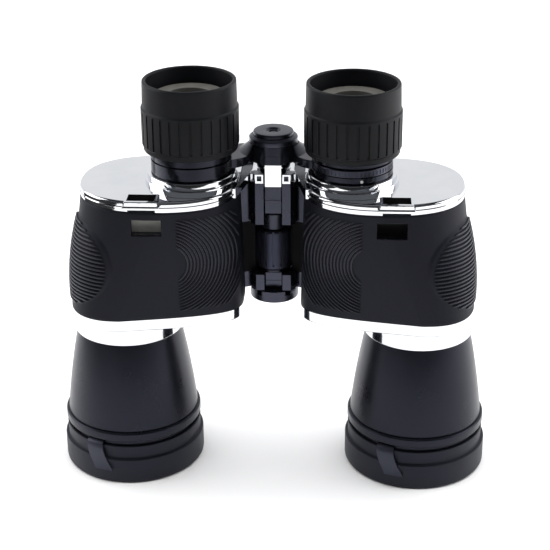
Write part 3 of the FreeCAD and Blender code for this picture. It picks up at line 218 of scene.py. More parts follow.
def cone_side(steps=14):
    """The barrel's slightly convex side, from its bead to its neck."""
    side = []
    for i in range(steps + 1):
        t = i / steps
        radius = CONE_LOW[0] + (CONE_TOP[0] - CONE_LOW[0]) * t + CONE_BULGE * 4 * t * (1 - t)
        side.append((radius, CONE_LOW[1] + (CONE_TOP[1] - CONE_LOW[1]) * t))
    return side


for side, sign in SIDES.items():
    barrel = lathe(
        f"{side}_barrel",
        [
            (MOUTH_R, MOUTH_Z),
            (WALL_R, MOUTH_Z, 0.3),
            (WALL_R, BEAD_Z[0]),
            (BEAD_R - 0.45, BEAD_Z[0] + 0.2, 0.3),
            (BEAD_R, BEAD_Z[0] + 0.7, 0.4),
            (BEAD_R, BEAD_Z[1] - 0.55, 0.5),
            (BEAD_R - 0.55, BEAD_Z[1] - 0.05, 0.3),
            (29.6, BEAD_Z[1], 0.1),
            (29.6, BEAD_Z[1] + 0.25, 0.1),
            *cone_side(),
            # Up round the spigot, then down its bore to the lens seat.
            (SPIGOT_R, CONE_TOP[1]),
            (SPIGOT_R, SPIGOT_Z),
            (SPIGOT_BORE_R, SPIGOT_Z),
            (SPIGOT_BORE_R, CONE_TOP[1]),
            (24.1, LENS_SEAT_Z[1]),
            (LENS_SEAT_R, LENS_SEAT_Z[1]),
            (LENS_SEAT_R, LENS_SEAT_Z[0]),
            (MOUTH_R, LENS_SEAT_Z[0]),
        ],
        BARREL_LACQUER,
        x=sign * OBJECTIVE_X,
    )
    wear(barrel, f"{side}_half", f"{side}_objective_barrel", slot="black_paint")

# ------------------------------------------------------------------------------
# Objective lenses, rings and prisms. Ground and polished glass, bloomed with a blue-green
# coating, each held by a threaded ring of black anodised aluminium or by a sprung steel clip.


def show(material, *parts):
    """Gives the CAD nodes of these parts, on either side, a finish and smooth round faces."""
    for node_name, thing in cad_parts.items():
        if node_name.removeprefix("left_").removeprefix("right_") in parts:
            thing.data.materials.clear()
            thing.data.materials.append(material)
            thing.data.shade_smooth()
            thing.data.set_sharp_from_angle(angle=math.radians(30))


# Coated glass over a dark tube: almost black, with a mirror face and a cool tint at its edge.
COATED_GLASS = finish_of(
    "coated_optical_glass", "#0b0d12", 0.03, worn="#10131b", smudge=0.01, patch=9,
    coat_weight=0.6, coat_roughness=0.02, coat_tint=srgb("#6d7fae"),
)
# Anodising over turned aluminium: dull black-grey with a fine tooth from the tool.
BLACK_ANODISING = finish_of(
    "black_anodised_aluminium", "#232325", 0.45, worn="#2a2a2b", smudge=0.05, grain=(0.3, 0.01)
)
# Bare spring steel, as rolled or ground: a plain grey, unevenly dulled by handling.
SPRING_STEEL = finish_of(
    "rolled_spring_steel", "#a6a8ab", 0.34, worn="#96989b", smudge=0.08, grain=(0.25, 0.006),
    metallic=1.0,
)
show(COATED_GLASS, "objective_lens", "upper_prism", "lower_prism")
show(BLACK_ANODISING, "lens_ring")
show(SPRING_STEEL, "prism_clips")

# ------------------------------------------------------------------------------
# Objective caps. Moulded from soft black rubber: a cup with a thicker rim that grips the bead,
# and a thin pull tab that hangs slanting from its lip, on the same side of both caps.

CAP_RIM_R = 32.15
CAP_RIM_Z = 12.15
CAP_GRIP_R = 29.67
CAP_LIP_Z = 18.65
CAP_FLOOR = 2.0
# The tab hangs at this bearing from the front, turned towards the left.
TAB_TURN = 27
TAB_WIDE = 8.4
TAB_THICK = 0.8
TAB_TOP_Z = 18.7
TAB_POINTS = 9
# Down the strip: how far below the lip, how far to the side, and its inner face from the axis.
TAB_FALL = [
    (-1.5, 0.0, 29.2),
    (-0.6, 0.0, 30.4),
    (0.2, 0.1, 31.0),
    (2.5, 0.5, 31.5),
    (5.0, 1.3, 31.7),
    (7.5, 2.5, 31.9),
    (9.5, 3.9, 32.2),
    (11.6, 5.2, 32.8),
]
# Soft rubber straight from a matt mould: dull, slightly dusty black with a fine leathery tooth.
CAP_RUBBER = finish_of(
    "soft_black_cap_rubber", "#0f1014", 0.48, worn="#16171b", smudge=0.06, grain=(0.7, 0.03),
    specular_ior_level=0.32, specular_tint=COOL_SHEEN,
)
# The same rubber on the pull tab, painted paler than the cap for the light that falls on its face,
# and glossier.
LIT_TAB_RUBBER = finish_of(
    "cap_rubber_painted_lit", "#191a20", 0.36, worn="#22232a", smudge=0.05, patch=6,
    grain=(0.5, 0.012), specular_ior_level=0.6, specular_tint=COOL_SHEEN,
)


def strip(name, skins, wide, material):
    """A thin closed sheet from its inner and its outer skin, each of rows of wide points."""
    points = [p for skin in skins for row in skin for p in row]
    count = len(skins[0])
    faces = []
    for i in range(count - 1):
        for j in range(wide - 1):
            a = i * wide + j
            faces.append((a, a + wide, a + wide + 1, a + 1))
            a += count * wide
            faces.append((a, a + 1, a + wide + 1, a + wide))
    rim = [i * wide for i in range(count)]
    rim += [(count - 1) * wide + j for j in range(1, wide)]
    rim += [i * wide + wide - 1 for i in range(count - 2, -1, -1)]
    rim += [j for j in range(wide - 2, 0, -1)]
    for a, b in zip(rim, rim[1:] + rim[:1]):
        faces.append((b, a, a + count * wide, b + count * wide))
    return mesh_of(name, points, faces, material, 50)


for side, sign in SIDES.items():
    cap = lathe(
        f"{side}_cap",
        [
            (0, 0),
            (CAP_RIM_R, 0, 1.6),
            (CAP_RIM_R, CAP_RIM_Z, 0.5),
            (30.75, CAP_RIM_Z + 0.35, 0.2),
            (30.95, CAP_LIP_Z, 0.5),
            (CAP_GRIP_R, CAP_LIP_Z, 0.2),
            (CAP_GRIP_R, CAP_FLOOR),
            (0, CAP_FLOOR),
        ],
        CAP_RUBBER,
        x=sign * OBJECTIVE_X,
    )
    wear(cap, f"{side}_cap", f"{side}_objective_cap", slot="soft_rubber")
    skins = []
    for proud in (0, TAB_THICK):
        rows = []
        for down, aside, radius in TAB_FALL:
            row = []
            for across in np.linspace(-TAB_WIDE / 2, TAB_WIDE / 2, TAB_POINTS):
                bearing = math.radians(-90 - TAB_TURN) + (aside + across) / CAP_RIM_R
                reach = radius + proud
                x = sign * OBJECTIVE_X + reach * math.cos(bearing)
                row.append((x, reach * math.sin(bearing), TAB_TOP_Z - down))
            rows.append(row)
        skins.append(rows)
    tab = strip(f"{side}_cap_tab", skins, TAB_POINTS, LIT_TAB_RUBBER)
    wear(tab, f"{side}_cap", slot="soft_rubber")

# ------------------------------------------------------------------------------
# Prism housings. Die-cast shells under the armour, sprayed semi-gloss black, whose flat-fronted
# shoulders and interleaved eyes come out to the hinge, where they are all that shows of them.

# Semi-gloss stoving enamel: deep black with clean, slightly soft highlights.
HINGE_ENAMEL = finish_of(
    "semi_gloss_black_enamel", "#0d0e12", 0.26, worn="#121317", smudge=0.05, grain=(0.6, 0.008),
    specular_ior_level=0.75, specular_tint=COOL_SHEEN,
)
show(HINGE_ENAMEL, "housing")

# ------------------------------------------------------------------------------
# Armour. A two-millimetre sleeve of black rubber, moulded over each housing, with a raised
# finger pad of level ribs on its outer end and a grip of concentric ribs beside the hinge.

LOW_Z = 80.5
TOP_Z = 132.0
# Plan of the right housing: middle, reach outwards and inwards, half depth, bluntness of both
# ends, and how much the inner end narrows.
LOWER = (65.5, 24.5, 52.8, 29.0, 2.5, 4.5, 0.33)
UPPER = (48.75, 34.75, 34.75, 29.5, 2.3, 2.3, 0.0)
WINDOW_X = (45.4, 58.2)
WINDOW_Z = (121.0, 128.4)
# Plan of the gap, left of the hinge, through which the housing's shoulders leave the skin, and
# the heights of the upper and the lower shoulders.
GAP = [(-3, 5.7), (-3, 24.3), (-7.8, 24.3), (-26, 20), (-26, 5.7), (-20.8, 5.7)]
GAP += [(-10, 10.1), (-10, 7.9), (-7.8, 5.7)]
UPPER_GAP_Z = (112.6, 140.0)
LOWER_GAP_Z = (70.0, 88.1)
SKIN_THICK = 2.0
SKIN_POINTS = 400
SKIN_LEVELS = 84
# Finger pad: middle and half size, along the outline from its outermost point and in height.
PAD_ALONG = (-12.0, 25.5)
PAD_UP = (103.5, 19.5)
PAD_LIP = 0.35
PAD_CROWN = 1.65
ARMOUR_SHEEN = srgb("#e8eaff")
# Rubber from a spark-textured mould: dull charcoal black, evenly grained, a little rubbed.
ARMOUR_RUBBER = finish_of(
    "moulded_black_armour_rubber", "#0f1015", 0.52, worn="#15161b", smudge=0.05,
    grain=(0.5, 0.02), specular_ior_level=0.21, specular_tint=ARMOUR_SHEEN,
)
# The same rubber on the ribs, painted paler than the skin for the light along their crests, and
# glossier.
LIT_RIB_RUBBER = finish_of(
    "armour_rubber_painted_lit", "#1b1c20", 0.36, worn="#222327", smudge=0.05, patch=9,
    grain=(0.4, 0.01), specular_ior_level=0.42, specular_tint=ARMOUR_SHEEN,
)


def eased(value, power):
    """A step of the sine or cosine, blunted by a superellipse's power."""
    return math.copysign(abs(value) ** (2 / power), value)


def evened(points, count):
    """A closed line's points again, at even distances along it."""
    places = np.array([tuple(p) for p in points] + [tuple(points[0])])
    run = np.concatenate([[0], np.cumsum(np.linalg.norm(np.diff(places, axis=0), axis=1))])
    stops = np.linspace(0, run[-1], count, endpoint=False)
    return [Vector([np.interp(stop, run, places[:, k]) for k in (0, 1)]) for stop in stops]


def outline(z, shrink=0.0, count=240):
    """Points of the right housing's plan at height z, made smaller all round by shrink. They
    start at its outermost point and run towards the back."""
    level = max((z - LOW_Z) / (TOP_Z - LOW_Z), 0)
    middle, out, inner, deep, out_bend, in_bend, narrow = (
        a + (b - a) * level for a, b in zip(LOWER, UPPER)
    )
    points = []
    for i in range(count * 2):
        angle = math.pi * i / count
        bend = out_bend if math.cos(angle) > 0 else in_bend
        along = eased(math.cos(angle), bend)
        across = eased(math.sin(angle), bend)
        reach = (out if along > 0 else inner) - shrink
        depth = (deep - shrink) * (1 + min(along, 0) * narrow)
        points.append(Vector((middle + reach * along, depth * across)))
    return evened(points, count)


def lofted(name, levels, material, sign, closed=False, sharp=35):
    """A closed solid through levels of (points, height), on the side that sign names. Where closed
    is true the last level joins the first, as in a hollow ring; else both ends are filled."""
    count = len(levels[0][0])
    points = [(sign * p[0], p[1], z) for plan, z in levels for p in plan]
    faces = grid_faces(len(levels), count, closed, flip=sign < 0)
    if not closed:
        low = range(count)
        top = [(len(levels) - 1) * count + i for i in low]
        faces += [tuple(low)[::-sign], tuple(top)[::sign]]
    return mesh_of(name, points, faces, material, sharp)


def settled(thing):
    """Applies a thing's modifiers and returns it as plain mesh."""
    view = bpy.context.evaluated_depsgraph_get()
    mesh = bpy.data.meshes.new_from_object(thing.evaluated_get(view))
    thing.modifiers.clear()
    thing.data = mesh
    return thing


def joined_with(thing, operation, *tools):
    """Cuts tools out of a thing, or fuses them to it, and removes them. A cut face takes its
    tool's finish."""
    for tool in tools:
        step = thing.modifiers.new("join", "BOOLEAN")
        step.object = tool
        step.operation = operation
        step.solver = "EXACT"
        step.material_mode = "TRANSFER"
    bpy.context.view_layer.update()
    settled(thing)
    for tool in tools:
        bpy.data.objects.remove(tool)
    return thing


def block(name, x, y, z, material, sign=1, bevel=0.0):
    """A box between pairs of millimetres, on the side that sign names, with bevelled edges."""
    corners = [(a, b, c) for a in sorted(sign * v for v in x) for b in y for c in z]
    faces = [(0, 1, 3, 2), (4, 6, 7, 5), (0, 4, 5, 1), (2, 3, 7, 6), (0, 2, 6, 4), (1, 5, 7, 3)]
    made = mesh_of(name, corners, faces, material, 60)
    return rounded(made, bevel) if bevel else made


def rounded(thing, width, angle=50):
    """Rounds a thing's edges sharper than that angle."""
    step = thing.modifiers.new("round", "BEVEL")
    step.width = width * MM
    step.segments = 3
    step.limit_method = "ANGLE"
    step.angle_limit = math.radians(angle)
    step.harden_normals = False
    return settled(thing)


def padded_plan(z, count):
    """The outline at height z with the finger pad standing out of its outer end."""
    plan = outline(z, 0.0, count)
    places = np.array([tuple(p) for p in plan])
    step = np.roll(places, -1, axis=0) - np.roll(places, 1, axis=0)
    outward = np.stack([step[:, 1], -step[:, 0]], axis=1)
    outward /= np.linalg.norm(outward, axis=1)[:, None]
    pitch = np.linalg.norm(step, axis=1).mean() / 2
    # Distance along the outline from its outermost point, less than 0 towards the front.
    run = np.arange(count) * pitch
    run = np.where(run > count * pitch / 2, run - count * pitch, run)
    off = np.hypot((run - PAD_ALONG[0]) / PAD_ALONG[1], (z - PAD_UP[0]) / PAD_UP[1])
    # The lip rises over the last twentieth of the pad's size, and the crown over all of it.
    edge = np.clip((1.02 - off) / 0.05, 0, 1)
    rise = edge * edge * (3 - 2 * edge) * (PAD_LIP + PAD_CROWN * np.clip(1 - off * off, 0, 1))
    return places + outward * rise[:, None]


# Ribs: how many, how far apart, the radius of their round section, and how far its middle sinks
# into the skin (less than 0 is above it).
PAD_RIBS = {"Count": 22, "Pitch": 1.72, "Radius": 0.45, "Sink": -0.34}
GRIP_RIBS = {"Count": 18, "Pitch": 1.42, "Radius": 0.37, "Sink": -0.28}
RIB_POINTS = 72
RIB_SIDES = 10
# Level ribs start this far out from an upright axis in the housing, and turn about it by so many
# degrees to the front and then to either side. They stop inside the pad's lip.
PAD_AXIS = 57.0
PAD_START = 70
PAD_TURN = (-22.0, 43.0)
PAD_MARGIN = 0.4
# Concentric ribs: their centre, smallest radius, and the upright line and heights where they stop.
GRIP_MIDDLE = (44.7, 107.5)
GRIP_SMALLEST = 9.8
GRIP_END_X = 39.3
GRIP_UP = (84.0, 128.6)
GRIP_START_Y = -80
GRIP_BACK_Y = 2
# A rib stops where the skin slants away, at this cosine against the way that the rib is dropped.
RIB_SLANT = -0.22


def tree_of(name, **inputs):
    """A new Geometry Nodes tree with an input for each name and type of socket."""
    tree = bpy.data.node_groups.new(name, "GeometryNodeTree")
    for label, kind in inputs.items():
        tree.interface.new_socket(label, in_out="INPUT", socket_type=f"NodeSocket{kind}")
    tree.interface.new_socket("Geometry", in_out="OUTPUT", socket_type="NodeSocketGeometry")
    return tree, tree.nodes.new("NodeGroupInput").outputs


def grown(name, tree, **sizes):
    """Runs a Geometry Nodes tree with these inputs and returns its result as plain mesh."""
    made = bpy.data.objects.new(name, bpy.data.meshes.new(name))
    bpy.context.scene.collection.objects.link(made)
    step = made.modifiers.new("grow", "NODES")
    step.node_group = tree
    for item in tree.interface.items_tree:
        if item.in_out == "INPUT":
            step[item.identifier] = sizes[item.name]
    bpy.context.view_layer.update()
    return settled(made)


def rib_tree(name, sideways):
    """Ribs over a skin. Each rib starts as a row of points, which are dropped onto the skin: level
    rows from outside where sideways is true, else concentric rows from in front. Rows are trimmed
    to where they land, and given a round section that sinks a little into the skin."""
    counts = {"Count": "Int", "Points": "Int"}
    sizes = {label: "Float" for label in ("Pitch", "Radius", "Sink", "Side")}
    tree, given = tree_of(name, Skin="Object", **counts, **sizes, Material="Material")
    row = add(tree, "GeometryNodeMeshLine", {"Count": given["Points"]})
    seats = add(tree, "GeometryNodeMeshLine", {"Count": given["Count"]})
    rows = add(tree, "GeometryNodeInstanceOnPoints", {"Points": seats, "Instance": row})
    loose = add(tree, "GeometryNodeRealizeInstances", {"Geometry": rows})
    # Which rib a point is on, and how far along it lies, from -1 to 1.
    index = add(tree, "GeometryNodeInputIndex")
    rib = add(tree, "FLOOR", add(tree, "DIVIDE", index, given["Points"]))
    last = add(tree, "SUBTRACT", given["Points"], 1.0)
    along = add(tree, "DIVIDE", add(tree, "MODULO", index, given["Points"]), last)
    swing = add(tree, "MULTIPLY_ADD", along, 2.0, -1.0)
    if sideways:
        middle = add(tree, "MULTIPLY", add(tree, "SUBTRACT", given["Count"], 1.0), 0.5)
        rise = add(tree, "MULTIPLY", add(tree, "SUBTRACT", rib, middle), given["Pitch"])
        share = add(tree, "DIVIDE", rise, (PAD_UP[1] - PAD_MARGIN) * MM)
        width = add(tree, "SQRT", add(tree, "SUBTRACT", 1.0, add(tree, "MULTIPLY", share, share)))
        start_turn, reach_turn = map(math.radians, PAD_TURN)
        reach = add(tree, "MULTIPLY", add(tree, "MULTIPLY", swing, width), reach_turn)
        turn = add(tree, "ADD", reach, start_turn)
        across = add(tree, "COSINE", turn)
        deep = add(tree, "SINE", turn)
        x = add(tree, "MULTIPLY_ADD", across, PAD_START * MM, PAD_AXIS * MM)
        y = add(tree, "MULTIPLY", deep, PAD_START * MM)
        z = add(tree, "ADD", rise, PAD_UP[0] * MM)
        inwards = add(tree, "MULTIPLY", across, add(tree, "MULTIPLY", given["Side"], -1.0))
        aim = add(tree, "ShaderNodeCombineXYZ", inwards, add(tree, "MULTIPLY", deep, -1.0))
    else:
        radius = add(tree, "MULTIPLY_ADD", rib, given["Pitch"], GRIP_SMALLEST * MM)
        short = add(tree, "DIVIDE", (GRIP_MIDDLE[0] - GRIP_END_X) * MM, radius)
        turn = add(tree, "MULTIPLY", swing, add(tree, "ARCCOSINE", short))
        inwards = add(tree, "MULTIPLY", add(tree, "COSINE", turn), radius)
        x = add(tree, "SUBTRACT", GRIP_MIDDLE[0] * MM, inwards)
        y = GRIP_START_Y * MM
        z = add(tree, "MULTIPLY_ADD", add(tree, "SINE", turn), radius, GRIP_MIDDLE[1] * MM)
        aim = add(tree, "ShaderNodeCombineXYZ", 0.0, 1.0, 0.0)
    start = add(tree, "ShaderNodeCombineXYZ", add(tree, "MULTIPLY", x, given["Side"]), y, z)
    placed = add(tree, "GeometryNodeSetPosition", {"Geometry": loose, "Position": start})
    # The rows keep their aim while points are removed, because a point's number changes then.
    aimed = add(tree, "GeometryNodeCaptureAttribute", {"Geometry": placed}, domain="POINT")
    aimed.capture_items.new("VECTOR", "Aim")
    tree.links.new(aim.outputs[0], aimed.inputs["Aim"])
    aim = aimed.outputs["Aim"]
    skin = add(tree, "GeometryNodeObjectInfo", {"Object": given["Skin"]}).outputs["Geometry"]
    fall = {"Target Geometry": skin, "Ray Direction": aim, "Ray Length": 0.2}
    drop = add(tree, "GeometryNodeRaycast", fall).outputs
    normal = drop["Hit Normal"]
    facing = add(tree, "ShaderNodeVectorMath", normal, aim, operation="DOT_PRODUCT")
    held = add(tree, "LESS_THAN", facing.outputs["Value"], RIB_SLANT)
    landed = add(tree, "ShaderNodeSeparateXYZ", drop["Hit Position"]).outputs
    above = add(tree, "GREATER_THAN", landed["Z"], GRIP_UP[0] * MM)
    below = add(tree, "LESS_THAN", landed["Z"], GRIP_UP[1] * MM)
    front = 1.0 if sideways else add(tree, "LESS_THAN", landed["Y"], GRIP_BACK_Y * MM)
    between = add(tree, "MULTIPLY", above, below)
    kept = add(tree, "MULTIPLY", add(tree, "MULTIPLY", held, front), between)
    lost = add(tree, "LESS_THAN", add(tree, "MULTIPLY", kept, drop["Is Hit"]), 0.5)
    cut = {"Geometry": aimed, "Selection": lost}
    trimmed = add(tree, "GeometryNodeDeleteGeometry", cut, domain="POINT")
    lift = {0: normal, "Scale": add(tree, "MULTIPLY", given["Sink"], -1.0)}
    sunk = add(tree, "ShaderNodeVectorMath", lift, operation="SCALE")
    seat = add(tree, "ShaderNodeVectorMath", drop["Hit Position"], sunk, operation="ADD")
    laid = add(tree, "GeometryNodeSetPosition", {"Geometry": trimmed, "Position": seat})
    lines = add(tree, "GeometryNodeMeshToCurve", {"Mesh": laid})
    # The ends run out over their last twentieth.
    share = add(tree, "GeometryNodeSplineParameter").outputs["Factor"]
    nearest = add(tree, "MINIMUM", share, add(tree, "SUBTRACT", 1.0, share))
    swell = add(tree, "MINIMUM", add(tree, "MULTIPLY_ADD", nearest, 18.0, 0.12), 1.0)
    taper = {"Curve": lines, "Radius": add(tree, "SQRT", swell)}
    tapered = add(tree, "GeometryNodeSetCurveRadius", taper)
    circle = {"Resolution": RIB_SIDES, "Radius": given["Radius"]}
    section = add(tree, "GeometryNodeCurvePrimitiveCircle", circle)
    wide = add(tree, "GeometryNodeInputRadius")
    sweep = {"Curve": tapered, "Profile Curve": section, "Scale": wide, "Fill Caps": True}
    ribs = add(tree, "GeometryNodeCurveToMesh", sweep)
    smooth = add(tree, "GeometryNodeSetShadeSmooth", {"Geometry": ribs})
    whole = add(tree, "GeometryNodeRealizeInstances", {"Geometry": smooth})
    coat = {"Geometry": whole, "Material": given["Material"]}
    add(tree, "NodeGroupOutput", add(tree, "GeometryNodeSetMaterial", coat))
    return tree


RIBS = {
    "pad": (rib_tree("level_pad_ribs", sideways=True), PAD_RIBS),
    "grip": (rib_tree("concentric_grip_ribs", sideways=False), GRIP_RIBS),
}

for side, sign in SIDES.items():
    low = LOW_Z + 0.02
    top = TOP_Z - 0.02
    # The inner face's foot, the rounded lower lip, the rounded upper lip and the inner face's top.
    rings = ((low, SKIN_THICK, low), (LOW_Z, 0.5, low), (LOW_Z, 0.12, LOW_Z + 0.25))
    rings += ((TOP_Z, 0.15, TOP_Z - 0.3), (TOP_Z, 0.6, top), (top, SKIN_THICK, top))
    levels = [(outline(z, inset, SKIN_POINTS), up) for z, inset, up in rings]
    heights = np.linspace(LOW_Z + 0.7, TOP_Z - 0.8, SKIN_LEVELS)
    levels[3:3] = [(padded_plan(z, SKIN_POINTS), z) for z in heights]
    armour = lofted(f"{side}_armour_skin", levels, ARMOUR_RUBBER, sign, closed=True, sharp=50)
    gap = [(-x, y) for x, y in GAP][::-1]
    joined_with(
        armour,
        "DIFFERENCE",
        block("window", WINDOW_X, (-40, -20), WINDOW_Z, ARMOUR_RUBBER, sign),
        lofted("upper_gap", [(gap, z) for z in UPPER_GAP_Z], ARMOUR_RUBBER, sign),
        lofted("lower_gap", [(gap, z) for z in LOWER_GAP_Z], ARMOUR_RUBBER, sign),
    )
    wear(armour, f"{side}_half", f"{side}_armour", slot="armour_rubber")
    for name, (tree, given) in RIBS.items():
        sizes = {label: given[label] * MM for label in ("Pitch", "Radius", "Sink")}
        sizes |= {"Skin": armour, "Count": given["Count"], "Points": RIB_POINTS}
        sizes |= {"Side": float(sign), "Material": LIT_RIB_RUBBER}
        ribs = grown(f"{side}_{name}_ribs", tree, **sizes)
        wear(ribs, f"{side}_half", slot="armour_rubber")

# ------------------------------------------------------------------------------
# Webs. Between its upper and lower shoulders each housing has a thin cast web, which runs in
# towards the hinge as far as the focus wheel lets it. Its flat black paints the shade between the
# shoulders.

# Flat, almost unreflecting black that paints shade: on the webs between the shoulders, on the
# strap slots' cut walls and on the hinge tube.
FLAT_SHADE_BLACK = finish_of("flat_black_painted_shade", "#0b0b0d", 0.6, worn="#101013", specular_ior_level=0.1)
HINGE_Y = 15.0
# Plan of the right web from the housing inwards, and the radius and degrees of the arc that
# leaves room for the wheel.
WEB = [(26, 20), (26, 5.7), (20.8, 5.7), (11.0, 9.7)]
WEB_ROOM_R = 9.4
WEB_ROOM_ARC = (-28, 58)
WEB_Z = (88.2, 112.5)
for side, sign in SIDES.items():
    turns = np.linspace(*map(math.radians, WEB_ROOM_ARC), 13)
    room = [(WEB_ROOM_R * math.cos(t), HINGE_Y + WEB_ROOM_R * math.sin(t)) for t in turns]
    levels = [(WEB + room, z) for z in WEB_Z]
    piece = lofted(f"{side}_hinge_web", levels, FLAT_SHADE_BLACK, sign, sharp=20)
    wear(piece, f"{side}_half", slot="black_paint")

# ------------------------------------------------------------------------------
# Base covers. Thin dishes of moulded plastic, plated with bright chrome, which close the
# undersides of the housings. Each has a neck moulded with it, which the barrel comes up into.

NECK_R = 24.5
NECK_Z = (66.2, 76.0)
DISH_Z = (75.2, 80.5)
DISH_EDGE = 1.0
DISH_TURNS = 6
# Chrome plate over moulded plastic: a cool, near-white mirror, with the slow waviness of the
# moulding under it and a few wiped patches.
CHROME_PLATE = finish_of(
    "chrome_plated_plastic", "#e9eaec", 0.05, worn="#e2e4e7", smudge=0.02, grain=(7, 0.035),
    metallic=1.0,
)


def cleaned(thing, sharp=40):
    """Evens a cut piece's shading, so that its large flat faces reflect flat."""
    work = bmesh.new()
    work.from_mesh(thing.data)
    bmesh.ops.remove_doubles(work, verts=work.verts, dist=2e-6)
    bmesh.ops.dissolve_degenerate(work, edges=work.edges, dist=1e-6)
    work.to_mesh(thing.data)
    work.free()
    thing.data.shade_smooth()
    thing.data.set_sharp_from_angle(angle=math.radians(sharp))
    step = thing.modifiers.new("weigh", "WEIGHTED_NORMAL")
    step.keep_sharp = True
    step.weight = 100
    return settled(thing)


for side, sign in SIDES.items():
    turned_in = [
        (outline(LOW_Z, DISH_EDGE * (1 - math.sin(t))), DISH_Z[0] + DISH_EDGE * (1 - math.cos(t)))
        for t in np.linspace(0, math.pi / 2, DISH_TURNS)
    ]
    dish = lofted(f"{side}_base", [*turned_in, (outline(LOW_Z), DISH_Z[1])], CHROME_PLATE, sign)
    neck = [(0, NECK_Z[0]), (NECK_R, NECK_Z[0], 0.4), (NECK_R, NECK_Z[1]), (0, NECK_Z[1])]
    joined_with(dish, "UNION", lathe("neck", neck, CHROME_PLATE, x=sign * OBJECTIVE_X))
    wear(cleaned(dish), f"{side}_half", f"{side}_base_cover", slot="chrome_trim")

# ------------------------------------------------------------------------------
# Strap plates. A strip of sheet steel closes each strap channel's back, and shows through the
# window at the front. The same plate is painted pale on the left half, for the light that falls in
# through the slot, and near black on the right one, for the shade in that channel.

# The plate steel painted almost black and dull: painted shade in the right channel.
SHADED_PLATE_STEEL = finish_of(
    "plate_steel_painted_shaded", "#1b1b1d", 0.5, worn="#2b2a29", smudge=0.06, grain=(0.4, 0.01)
)
# The same steel painted a pale, warm, dull grey: painted light in the left channel.
LIT_PLATE_STEEL = finish_of(
    "plate_steel_painted_lit", "#d3d3ca", 0.5, worn="#e4e4dc", smudge=0.08, patch=5, grain=(0.3, 0.01)
)
# The left plate is painted lit, and the right one painted in shade.
show(LIT_PLATE_STEEL, "strap_plate")
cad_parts["right_strap_plate"].data.materials[0] = SHADED_PLATE_STEEL

# ------------------------------------------------------------------------------
# Top covers. Chromed lids over the housings, each with a soft rounded edge, an arm to the hinge,
# and a framed slot at the front through which the neck strap is let down into its channel.

COVER_TOP_Z = 136.5
COVER_EDGE = 1.1
LIP_Z = (133.6, 134.3)
LIP_PROUD = 0.35
COVER_POINTS = 320
EYE_X = 34.85
COLLAR_SEAT_R = 18.4
HUB_ROOM_R = 7.8
THROUGH_Z = (120, 150)
SLOT_X = (47.6, 59.4)
SLOT_Y = (-30.3, -22.9)
FRAME_X = (46.3, 60.4)
FRAME_Y = (-31.9, -22.0)
FRAME_Z = (135.0, 137.6)
STEP_X = (45.4, 61.2)
STEP_Y = (-32.3, -24.0)
STEP_Z = (133.9, 135.7)
# Hollows moulded in the arm: one in its top beside the hinge, one in its front face. Their cut
# faces take the black enamel, not chrome, as painted shade.
POCKET = [(-9.2, 12.4), (-9.2, 22.6), (-14.2, 21.3), (-14.2, -10.6), (-14.0, -10.6)]
POCKET_Z = (135.6, 137.0)
RECESS_X = (4.9, 7.0)
RECESS_Y = (5.0, 6.9)
RECESS_Z = (133.2, 135.6)
# Plan of the left arm, from the hinge outwards and back.
ARM = [(-4.1, 5.7), (-4.1, 24.3), (-7.8, 24.3), (-26, 20), (-26, -12), (-15, -12)]
ARM += [(-10, 10.1), (-10, 7.9), (-7.8, 5.7)]


def drill(radius, **place):
    """A round cutter through a cover."""
    low, high = THROUGH_Z
    corners = [(0, low), (radius, low), (radius, high), (0, high)]
    return lathe("drill", corners, CHROME_PLATE, **place)


for side, sign in SIDES.items():
    plain, proud = (outline(TOP_Z, inset, COVER_POINTS) for inset in (0.0, -LIP_PROUD))
    levels = [
        (plain, TOP_Z + 0.02),
        (plain, LIP_Z[0] - 0.2),
        (proud, LIP_Z[0]),
        (proud, sum(LIP_Z) / 2),
        (plain, LIP_Z[1]),
    ]
    for turn in (math.pi / 2 * k / 8 for k in range(9)):
        plan = outline(TOP_Z, COVER_EDGE * (1 - math.cos(turn)), COVER_POINTS)
        levels.append((plan, COVER_TOP_Z - COVER_EDGE * (1 - math.sin(turn))))
    cover = lofted(f"{side}_cover", levels, CHROME_PLATE, sign)
    arm_plan, pocket = ([(-x, y) for x, y in plan][::-1] for plan in (ARM, POCKET))
    levels = [(arm_plan, TOP_Z + 0.04), (arm_plan, COVER_TOP_Z - 0.02)]
    joined_with(
        cover,
        "UNION",
        rounded(lofted("arm", levels, CHROME_PLATE, sign), 0.45, 30),
        block("frame", FRAME_X, FRAME_Y, FRAME_Z, CHROME_PLATE, sign, bevel=0.35),
        block("step", STEP_X, STEP_Y, STEP_Z, CHROME_PLATE, sign, bevel=0.5),
    )
    joined_with(
        cover,
        "DIFFERENCE",
        # The slot's cut walls take the flat black, as painted shade in its throat.
        block("slot", SLOT_X, SLOT_Y, THROUGH_Z, FLAT_SHADE_BLACK, sign),
        # The hollows' faces take the black enamel: painted shade.
        lofted("pocket", [(pocket, z) for z in POCKET_Z], HINGE_ENAMEL, sign),
        block("recess", RECESS_X, RECESS_Y, RECESS_Z, HINGE_ENAMEL, sign),
        drill(COLLAR_SEAT_R, x=sign * EYE_X),
        drill(HUB_ROOM_R, y=HINGE_Y),
    )
    wear(cleaned(cover), f"{side}_half", f"{side}_top_cover", slot="chrome_trim")

# ------------------------------------------------------------------------------
# Eyepiece collars. Chromed bosses of two tiers, pressed through the covers, in whose bores the
# eyepiece tubes slide up and down.

